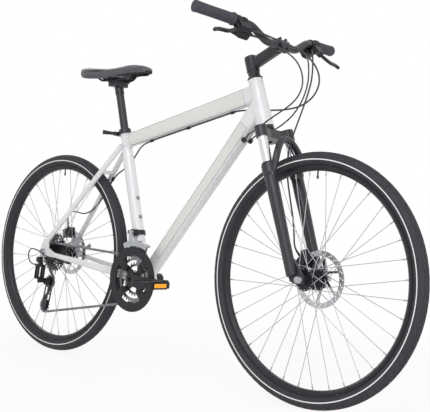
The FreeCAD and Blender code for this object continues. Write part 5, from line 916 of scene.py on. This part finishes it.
REAR_HOSE = Cord(
    "rear_brake_hose",
    ((0.4065, -0.1476, 1.0215), (0.4223, -0.1185, 1.0188), (0.4380, -0.0660, 1.0080),
     (0.4520, -0.0120, 1.0000), (0.4660, 0.0360, 0.9840), (0.4910, 0.0580, 0.9480),
     (0.5010, 0.0620, 0.9050), (0.4820, 0.0600, 0.8640), (0.4430, 0.0520, 0.8380),
     (0.3960, 0.0430, 0.8300), (0.3450, 0.0370, 0.8300), (0.3030, 0.0290, 0.8310),
     (0.2700, 0.0100, 0.8300), (0.2427, 0.0000, 0.8255), (0.2144, 0.0000, 0.8191),
     (-0.0732, 0.0000, 0.7536), (-0.1170, 0.0000, 0.7436), (-0.1600, 0.0030, 0.7310),
     (-0.1940, 0.0140, 0.7070), (-0.2260, 0.0260, 0.6830), (-0.2630, 0.0275, 0.6560),
     (-0.3157, 0.0282, 0.6296), (-0.3850, 0.0402, 0.5518), (-0.4270, 0.0330, 0.5070),
     (-0.4780, 0.0370, 0.4920), (-0.5280, 0.0450, 0.4990), (-0.5640, 0.0490, 0.5000),
     (-0.5892, 0.0490, 0.4781), (-0.5804, 0.0490, 0.4452)),
    1.557, 0.005, "brake_hoses", "hose", ("steering", "frame"),
    ((0.4223, -0.1185, 1.0188), (0.3030, 0.0290, 0.8310)))
FRONT_HOSE = Cord(
    "front_brake_hose",
    ((0.4065, 0.1476, 1.0215), (0.4184, 0.1224, 1.0192), (0.4408, 0.1029, 0.9893),
     (0.4589, 0.0800, 0.9251), (0.4562, 0.0680, 0.8776), (0.4478, 0.0560, 0.8282),
     (0.4388, 0.0440, 0.7807), (0.4260, 0.0370, 0.7318), (0.4198, 0.0360, 0.6853),
     (0.4222, 0.0370, 0.6354), (0.4345, 0.0380, 0.5782), (0.4489, 0.0385, 0.5240),
     (0.4586, 0.0370, 0.4744), (0.4634, 0.0350, 0.4309), (0.4815, 0.0350, 0.4152)),
    0.668, 0.005, "brake_hoses", "hose", ("steering", "fork_lowers"),
    ((0.4478, 0.0560, 0.8282), (0.4198, 0.0360, 0.6853)))
RIGHT_SHIFT_CABLE = Cord(
    "right_shift_cable",
    ((0.3921, -0.1200, 1.0144), (0.4057, -0.1010, 1.0087), (0.4388, -0.0757, 0.9921),
     (0.4775, -0.0360, 0.9632), (0.5000, -0.0240, 0.9223), (0.5030, -0.0220, 0.8768),
     (0.4768, -0.0240, 0.8361), (0.4067, -0.0370, 0.7940), (0.3715, -0.0360, 0.7734),
     (0.3378, -0.0270, 0.7607), (0.3110, -0.0140, 0.7553), (0.2971, -0.0140, 0.7382)),
    0.481, 0.0044, "gear_cables", "hose", ("steering", "frame"),
    ((0.4057, -0.1010, 1.0087), (0.3378, -0.0270, 0.7607)), boots=(12.0, 10.0), boot_radius=3.0)
LEFT_SHIFT_CABLE = Cord(
    "left_shift_cable",
    ((0.3921, 0.1200, 1.0144), (0.4057, 0.1010, 1.0087), (0.4388, 0.0757, 0.9921),
     (0.4701, 0.0460, 0.9480), (0.4711, 0.0450, 0.9018), (0.4577, 0.0420, 0.8549),
     (0.4328, 0.0390, 0.8167), (0.4067, 0.0370, 0.7940), (0.3715, 0.0360, 0.7734),
     (0.3378, 0.0270, 0.7607), (0.3110, 0.0140, 0.7553), (0.2971, 0.0140, 0.7382)),
    0.431, 0.0044, "gear_cables", "hose", ("steering", "frame"),
    ((0.4057, 0.1010, 1.0087), (0.3378, 0.0270, 0.7607)), boots=(12.0, 10.0), boot_radius=3.0)
REAR_LOOP = Cord(
    "rear_derailleur_cable",
    ((-0.4301, -0.0577, 0.3206), (-0.4632, -0.0652, 0.3206), (-0.5070, -0.0875, 0.3331),
     (-0.5530, -0.0955, 0.3551), (-0.6050, -0.0915, 0.3611), (-0.6220, -0.0890, 0.3441),
     (-0.6220, -0.0865, 0.3201), (-0.6050, -0.0845, 0.3031), (-0.5790, -0.0845, 0.3031)),
    0.281, 0.0044, "gear_cables", "hose", ("frame",), boots=(11.0, 9.0), boot_radius=3.0)


# Wheels


@dataclass
class Tyre:
    """Trekking tyre: lugged tread on a round casing, with a reflecting line on each side wall."""

    name: str
    body: str
    node: str
    axle: Point
    centre_radius: float = 331.1
    casing: float = 20.0
    wall: float = 3.0
    edge_turn: float = 151.0
    lugs: int = 84
    per_lug: int = 10
    tread_depth: float = 1.7
    # Turns from the crown where the rows of lugs part, and where the tread ends
    row_lines: tuple[float, float, float] = (8.0, 23.0, 39.0)
    shoulder: tuple[float, float] = (55.0, 62.0)

    def heights(self, turn: Array, around: Array) -> Array:
        """Returns the tread's height, 1 on a lug and 0 in a groove.

        Lugs stand in rows between lines of the turn from the crown. Along a row, the place within
        one lug's length, shifted by half from row to row and slanted outwards, is 0.5 at the lug's
        middle, and the lug ends where it is further than 0.38 from there.

        Args:
            turn: angle from the crown across the tread, in degrees.
            around: angle round the wheel, in radians.

        Returns:
            Heights by angle round the wheel and turn.
        """
        across = np.abs(turn)
        row = np.digitize(across, self.row_lines)
        shift = 0.5 * (row % 2) + 0.25 * (turn > 0.0) + across / 55.0
        place = (around[:, None] / TURN * self.lugs + shift[None]) % 1.0
        apart = np.abs(place - 0.5)
        lug = 1.0 - smooth(0.34, 0.42, apart)
        rib = np.where(row == 0, 0.55 + 0.45 * lug, lug)
        gap = np.minimum.reduce([np.abs(across - line) for line in self.row_lines])
        rows = smooth(0.6, 1.5, gap)[None] * rib
        return rows * (1.0 - smooth(*self.shoulder, across))[None]

    def build(self, rubber: bpy.types.Material) -> None:
        """Makes the tyre as a grid: the turn across the casing by the angle round the wheel.

        The outside is the casing's circle less the tread's depth where there is no lug. The inside
        is a smaller circle, and both meet at the beads.

        Args:
            rubber: the tyre's material.
        """
        half = np.array([
            0.0, 4.0, 7.0, 7.6, 8.4, 9.2, 13.0, 18.0, 22.0, 22.6, 23.4, 24.2, 28.0, 33.0, 38.0, 38.6, 39.4, 40.2,
            45.0, 50.0, 55.0, 58.0, 62.0, 70.0, 78.0, 86.0, 91.0, 96.0, 101.0, 108.0, 117.0, 126.0, 135.0, 144.0,
            self.edge_turn])
        outer = np.concatenate([-half[:0:-1], half])
        inner = np.linspace(self.edge_turn - 3.0, 3.0 - self.edge_turn, 13)
        around = np.linspace(0.0, TURN, self.lugs * self.per_lug, endpoint=False)
        height = self.heights(outer, around)
        worn = 1.0 - smooth(55.0, 66.0, np.abs(outer))
        radius = self.casing - self.tread_depth * (1.0 - height) * worn[None]
        inside = np.full((len(around), len(inner)), self.casing - self.wall)
        turn = np.radians(np.concatenate([outer, inner]))
        reach = np.concatenate([radius, inside], 1) * MM
        level = self.centre_radius * MM + reach * np.cos(turn)[None]
        grid = np.stack([self.axle[0] + level * np.sin(around)[:, None],
                         self.axle[1] + reach * np.sin(turn)[None],
                         self.axle[2] + level * np.cos(around)[:, None]], -1)
        chart = np.concatenate([0.5 + outer / 360.0, np.full(len(inner) + 1, 0.5)])
        tyre = PieceMesh(self.name)
        tyre.add(grid, wrap_rows=True, caps=False, u=np.linspace(0.0, 2.2, len(around) + 1), v=chart)
        piece = tyre.make(rubber, crease=50.0)
        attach(piece, self.body)
        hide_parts(self.node)


# Contact points


@dataclass
class Grips:
    """Two rubber grips: ribbed sleeves with a plain end cap and a flange by the lever."""

    end: Point = (0.3522, -0.3120, 1.0578)
    inward: Point = (0.2239, 0.9704, -0.0906)
    length: float = 126.0
    cap: float = 5.0
    radius: float = 15.9
    flange: float = 18.4
    bores: tuple[float, float] = (6.0, 11.6)
    sides: int = 96
    rib_pitch: float = 4.0
    rib_depth: float = 0.7
    ridge_pitch: float = 9.0
    ridge_depth: float = 0.6
    ridges: float = 8.0

    def sleeve(self, side: float) -> Array:
        """Returns one grip's surface: a radius that depends on the place along and around it.

        Ribs are a raised cosine at their pitch. Two plain bands run along the sleeve where the palm
        and the fingers rest, and there the ribs become a lattice of slanted ridges.

        Args:
            side: -1 for the right grip and 1 for the left.

        Returns:
            Points by place along the grip and angle.
        """
        way = np.array(self.inward) * np.array([1.0, -side, 1.0])
        end = np.array(self.end) * np.array([1.0, -side, 1.0])
        along = np.concatenate([[-self.cap, -self.cap, -self.cap + 0.6, -3.0, 1.0, 4.0],
                                np.linspace(5.0, self.length - 8.0, 150),
                                [self.length - 6.5, self.length - 5.0, self.length, self.length]])
        angle = np.linspace(0.0, TURN, self.sides, endpoint=False)
        base = np.interp(along, [-self.cap, -self.cap + 0.6, -3.0, 4.0, 50.0, self.length - 8.0,
                                 self.length - 5.0, self.length],
                         [14.2, 15.2, 16.6, self.radius, self.radius - 0.5, self.radius,
                          self.flange, self.flange])
        base[0], base[-1] = self.bores
        zone = smooth(8.0, 12.0, along) * (1.0 - smooth(self.length - 16.0, self.length - 12.0, along))
        groove = 0.5 + 0.5 * np.cos(TURN * along / self.rib_pitch)[:, None]
        slant = TURN * along[:, None] / self.ridge_pitch
        turn = self.ridges * angle[None]
        lattice = smooth(-0.15, 0.3, -np.cos(slant + turn) * np.cos(slant - turn))
        palm = smooth(0.2, 0.45, np.cos(2.0 * angle))[None]
        sunk = (1.0 - palm) * groove * self.rib_depth + palm * lattice * self.ridge_depth
        radius = (base[:, None] - zone[:, None] * sunk) * MM
        return end + along[:, None, None] * MM * way + radius[..., None] * circle(way, self.sides)[None]

    def build(self, rubber: bpy.types.Material) -> None:
        """Makes both grips on the handlebar.

        Args:
            rubber: the grips' material.
        """
        for side, label in ((-1.0, "right_grip"), (1.0, "left_grip")):
            sleeve = PieceMesh(label)
            sleeve.add(self.sleeve(side))
            piece = sleeve.make(rubber, crease=50.0)
            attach(piece, "steering")
            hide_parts("grips")


def flowing(at: Array, places: Sequence[float], values: Sequence[float]) -> Array:
    """Returns a smooth curve through values: cubic Hermite pieces with central-difference slopes.

    Args:
        at: where the curve is wanted.
        places: the known places, rising.
        values: the known values.

    Returns:
        One value for each place wanted.
    """
    x, y = np.array(places, float), np.array(values, float)
    slope = np.gradient(y, x)
    i = np.clip(np.searchsorted(x, at) - 1, 0, len(x) - 2)
    step = x[i + 1] - x[i]
    t = (at - x[i]) / step
    return ((1.0 + 2.0 * t) * (1.0 - t) ** 2 * y[i] + t * (1.0 - t) ** 2 * step * slope[i]
            + t * t * (3.0 - 2.0 * t) * y[i + 1] + t * t * (t - 1.0) * step * slope[i + 1])


@dataclass
class Saddle:
    """Padded saddle: foam under a stretched vinyl cover that wraps the shell's sides."""

    back: float = -429.0
    length: float = 286.0
    half_width: float = 85.0
    top: float = 1005.6
    # Shares of the length, and there the share of the width, the top's rise and the side's depth
    shares: tuple[float, ...] = (0.0, 0.06, 0.14, 0.26, 0.42, 0.58, 0.76, 0.92, 1.0)
    widths: tuple[float, ...] = (0.60, 0.84, 0.97, 1.0, 0.77, 0.48, 0.335, 0.295, 0.21)
    rises: tuple[float, ...] = (-8.0, -7.5, -10.0, -14.5, -17.0, -11.0, -6.5, -11.0, -17.0)
    depths: tuple[float, ...] = (27.0, 33.0, 38.5, 39.0, 35.0, 30.0, 28.5, 25.0, 18.0)
    # Half of a section, from the lower edge to the middle of the top
    around: tuple[float, ...] = (0.0, 0.18, 0.38, 0.58, 0.78, 1.0)
    outward: tuple[float, ...] = (0.95, 1.0, 1.0, 0.90, 0.55, 0.0)
    downward: tuple[float, ...] = (1.0, 0.78, 0.48, 0.17, 0.03, 0.0)
    rounding: float = 11.0
    pad: float = 14.0
    # The inside's share of the width, and how blunt the drawn-in ends stay
    inner: float = 0.9
    blunt: tuple[float, float] = (0.45, 0.06)
    # Depth and half width of the channel, and the shares of the length where it fades in and out
    channel: tuple[float, float] = (2.6, 11.0)
    channel_fades: tuple[tuple[float, float], ...] = ((0.12, 0.3), (0.72, 0.9))
    # Place on the section, depth and width of the sewn line
    seam: tuple[float, float, float] = (0.60, 0.9, 0.02)
    stiffness: float = 25.0
    pressure: float = 4.0
    frames: int = 20
    most: float = 2.5

    def section(self) -> tuple[Array, Array, Array]:
        """Returns a section's outline as shares: outward, downward and the place from 0 to 1 to 0."""
        place = np.concatenate([np.linspace(0.0, 1.0, 31), np.linspace(1.0, 0.0, 31)[1:]])
        side = np.concatenate([-np.ones(30), [0.0], np.ones(30)])
        out = flowing(place, self.around, self.outward) * side
        down = np.clip(flowing(place, self.around, self.downward), 0.0, 1.0)
        return out, down, place

    def grid(self) -> Array:
        """Returns the cover as rows from tail to nose of closed sections.

        A section goes over the top and comes back inside it, a little narrower and the pad's
        thickness lower at the middle, so the skirt is open below. The ends are drawn to the
        section's middle along a quarter circle. A shallow channel runs along the top, and a sewn
        line sinks in where the top meets the sides.

        Returns:
            Points by row and place round the section, in metres.
        """
        reach = np.concatenate([[0.0, 0.6, 1.8, 4.0, 7.5, 11.0], np.linspace(15.0, self.length - 15.0, 62),
                                self.length - np.array([11.0, 7.5, 4.0, 1.8, 0.6, 0.0])])
        share = reach / self.length
        half = self.half_width * flowing(share, self.shares, self.widths)
        top = self.top + flowing(share, self.shares, self.rises)
        depth = flowing(share, self.shares, self.depths)
        out, down, place = self.section()
        width = half[:, None] * out[None]
        level = top[:, None] - depth[:, None] * down[None]
        sunk = self.seam[1] * np.exp(-((place - self.seam[0]) / self.seam[2]) ** 2)
        level = level - sunk[None]
        window = smooth(*self.channel_fades[0], share) * (1.0 - smooth(*self.channel_fades[1], share))
        level = level - self.channel[0] * window[:, None] * np.exp(-(width / self.channel[1]) ** 2)
        inner_level = top[:, None] - (self.pad + (depth - self.pad - 1.0)[:, None] * down[None])
        y = np.concatenate([width, self.inner * width[:, ::-1]], 1)
        z = np.concatenate([level, inner_level[:, ::-1]], 1)
        near = np.clip(np.minimum(reach, self.length - reach) / self.rounding, 0.0, 1.0)
        across, upright = self.blunt
        scale = np.maximum(np.sqrt(1.0 - (1.0 - near) ** 2), upright)[:, None]
        middle = (top - 0.45 * depth)[:, None]
        x = np.broadcast_to((self.back + reach)[:, None], y.shape)
        y = y * (across + (1.0 - across) * scale)
        return np.stack([x, y, middle + (z - middle) * scale], -1) * MM

    def swell(self, piece: bpy.types.Object, held_rows: Array) -> None:
        """Inflates the cover with its inner side held, and caps how far each point moves.

        Args:
            piece: the cover, which gets the swollen shape.
            held_rows: the numbers of the points that stay.
        """
        rest = mesh_points(piece.data)
        held = piece.vertex_groups.new(name="held")
        held.add(held_rows.tolist(), 1.0, "REPLACE")
        cloth = piece.modifiers.new("stretched_cover", "CLOTH")
        cloth.settings.use_pressure = True
        cloth.settings.uniform_pressure_force = self.pressure
        cloth.settings.effector_weights.gravity = 0.0
        cloth.settings.vertex_group_mass = "held"
        cloth.settings.tension_stiffness = cloth.settings.compression_stiffness = self.stiffness
        cloth.point_cache.frame_start, cloth.point_cache.frame_end = 1, self.frames
        for step in range(1, self.frames + 1):
            bpy.context.scene.frame_set(step)
        graph = bpy.context.evaluated_depsgraph_get()
        swollen = mesh_points(piece.evaluated_get(graph).data)
        piece.modifiers.clear()
        bpy.context.scene.frame_set(1)
        move = swollen - rest
        far = np.linalg.norm(move, axis=1, keepdims=True)
        move *= np.minimum(1.0, self.most * MM / np.maximum(far, 1e-9))
        piece.data.vertices.foreach_set("co", (rest + move).astype(np.float32).ravel())
        piece.data.update()
        log.info("saddle swelled by %.1f mm at most", float(far.max()) / MM)

    def build(self, vinyl: bpy.types.Material) -> None:
        """Makes the padded cover.

        Args:
            vinyl: the cover's material.
        """
        grid = self.grid()
        rows, cols = grid.shape[:2]
        cover = PieceMesh("saddle_cushion")
        cover.add(grid)
        piece = cover.make(vinyl, crease=180.0)
        column = np.arange(rows * cols) % cols
        outer = (column > 2) & (column < cols // 2 - 3)
        self.swell(piece, np.flatnonzero(~outer))
        finer = piece.modifiers.new("finer", "SUBSURF")
        finer.levels = finer.render_levels = 1
        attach(piece, "saddle")
        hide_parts("saddle_cover")


# Small details


def rounded(half: tuple[float, float], corner: float, count: int) -> Array:
    """Returns the outline of a rectangle with round corners, in millimetres.

    Each point is a corner's centre plus the corner's radius times the direction at its angle.

    Args:
        half: half the width and half the height.
        corner: the corners' radius.
        count: points on the outline, of which each corner gets a quarter.

    Returns:
        Points in order, two values each.
    """
    angle = (np.arange(count) + 0.5) / count * TURN
    way = np.stack([np.cos(angle), np.sin(angle)], -1)
    return np.sign(way) * (np.array(half) - corner) + corner * way


@dataclass
class PedalReflectors:
    """Amber reflectors on the front and the back of one pedal."""

    name: str
    body: str
    middle: Point
    reach: float = 42.0
    half: tuple[float, float] = (24.6, 5.9)
    corner: float = 1.8
    count: int = 48
    steps: tuple[tuple[float, float], ...] = ((-0.5, 0.0), (0.4, 0.0), (0.7, 0.3), (0.8, 0.9))

    def plate(self, side: float) -> Array:
        """Returns one plate: its outline at each step outwards, drawn in by the step's second value.

        Args:
            side: 1 for the front plate and -1 for the rear one.

        Returns:
            Points by step and place on the outline.
        """
        rows = []
        for out, inset in self.steps:
            edge = rounded((self.half[0] - inset, self.half[1] - inset), self.corner - inset, self.count)
            rows.append(np.insert(edge, 0, side * (self.reach + out), axis=1))
        return np.array(self.middle) + np.array(rows) * MM

    def build(self, amber: bpy.types.Material) -> None:
        """Makes both plates as one piece on the pedal.

        Args:
            amber: the reflectors' material.
        """
        plates = PieceMesh(self.name)
        plates.add(self.plate(1.0))
        plates.add(self.plate(-1.0))
        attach(plates.make(amber, crease=30.0), self.body)


@dataclass
class BossScrews:
    """Two button-head screws that close the bottle bosses on the seat tube."""

    places: tuple[float, float] = (205.0, 269.0)
    face: float = 21.5
    head: tuple[tuple[float, float], ...] = (
        (4.3, -0.2), (4.5, 0.0), (4.5, 0.5), (4.1, 1.4), (3.2, 2.1), (2.2, 2.4), (1.6, 2.4), (1.5, 1.0))

    def build(self, steel: bpy.types.Material) -> None:
        """Turns both heads about the bosses' axes.

        Args:
            steel: the screws' material.
        """
        way = np.array(SEAT_WAY)
        front = np.array([way[2], 0.0, -way[0]])
        screws = PieceMesh("bottle_boss_screws")
        for place in self.places:
            seat = np.array(BRACKET) + (place * way + self.face * front) * MM
            screws.add(turned(self.head, seat, front))
        piece = screws.make(steel, crease=35.0)
        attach(piece, "frame")


@dataclass
class Weld:
    """Painted fillet weld round the end of a flattened tube: a soft bead with a welder's ripples."""

    name: str
    far: Point
    near: Point
    half: tuple[float, float]
    corner: float
    post_way: Point
    post_radius: float
    bead: float = 2.3
    pitch: float = 3.4
    ripple: float = 0.07
    per_ripple: int = 6

    def seam(self) -> Array:
        """Returns the closed line where the tube's outline meets the post.

        A point of the outline goes along the tube till it is the post's radius from the post's axis.
        With the parts of the point and of the tube's direction that are square to the axis, that is
        the lower root of a quadratic in the way gone.

        Returns:
            Points in metres, evenly spaced.
        """
        along = unit(np.array(self.near) - np.array(self.far))
        upward = np.array([-along[2], 0.0, along[0]])
        edge = rounded(self.half, self.corner, 96) * MM
        start = edge[:, :1] * np.array([0.0, 1.0, 0.0]) + edge[:, 1:] * upward
        axis = np.array(self.post_way)
        flat = start - (start @ axis)[:, None] * axis
        run = along - (along @ axis) * axis
        a, b = run @ run, flat @ run
        c = (flat * flat).sum(1) - (self.post_radius * MM) ** 2
        gone = (-b - np.sqrt(np.maximum(b * b - a * c, 0.0))) / a
        line = np.array(self.near) + start + gone[:, None] * along
        loop = np.concatenate([line, line[:1]])
        whole = lengths(loop)[-1]
        count = self.per_ripple * int(whole / (self.pitch * MM))
        return at_lengths(loop, np.linspace(0.0, whole, count, endpoint=False))

    def build(self, enamel: bpy.types.Material) -> None:
        """Carries the bead along the seam, its radius rising and falling once every ripple.

        Args:
            enamel: the frame's paint.
        """
        line = self.seam()
        wave = np.cos(TURN * np.arange(len(line)) / self.per_ripple)
        radii = self.bead * MM * (1.0 + self.ripple * wave)
        seam = PieceMesh(self.name)
        seam.add(swept(line, radii, closed=True), wrap_rows=True, caps=False)
        piece = seam.make(enamel)
        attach(piece, "frame")


WELDS = (
    Weld("top_tube_front_weld", TOP_REAR, TOP_FRONT, (18.0, 28.8), 15.0, STEER_WAY, 23.0),
    Weld("down_tube_front_weld", BRACKET, DOWN_FRONT, (23.0, 27.6), 17.0, STEER_WAY, 24.4),
    Weld("top_tube_rear_weld", TOP_FRONT, TOP_REAR, (18.0, 24.2), 15.0, SEAT_WAY, 19.0),
)


# Bicycle


def dress_nodes(palette: Palette) -> None:
    """Gives every CAD node its material.

    Args:
        palette: the bicycle's finishes.
    """
    chosen = palette.by_node()
    missing = sorted(set(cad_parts) - set(chosen))
    if missing:
        raise ValueError(f"no finish for {missing}")
    for name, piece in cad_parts.items():
        dress(piece, chosen[name])


def main() -> None:
    """Builds the studio and the bicycle's pieces in order."""
    logging.basicConfig(level=logging.INFO, format="%(name)s %(message)s")
    Studio().build()
    palette = Palette()
    for cord in (REAR_HOSE, FRONT_HOSE, RIGHT_SHIFT_CABLE, LEFT_SHIFT_CABLE, REAR_LOOP):
        cord.build(palette.jacket, palette.dark_steel)
    dress_nodes(palette)
    Tyre("front_tyre_lugged", "front_wheel", "front_tyre", FRONT_AXLE).build(palette.tyre)
    Tyre("rear_tyre_lugged", "rear_wheel", "rear_tyre", REAR_AXLE).build(palette.tyre)
    Grips().build(palette.grip)
    Saddle().build(palette.vinyl)
    PedalReflectors("right_pedal_reflectors", "right_pedal", RIGHT_PEDAL).build(palette.amber)
    PedalReflectors("left_pedal_reflectors", "left_pedal", LEFT_PEDAL).build(palette.amber)
    BossScrews().build(palette.steel)
    for weld in WELDS:
        weld.build(palette.enamel)


if __name__ == "__main__":
    main()
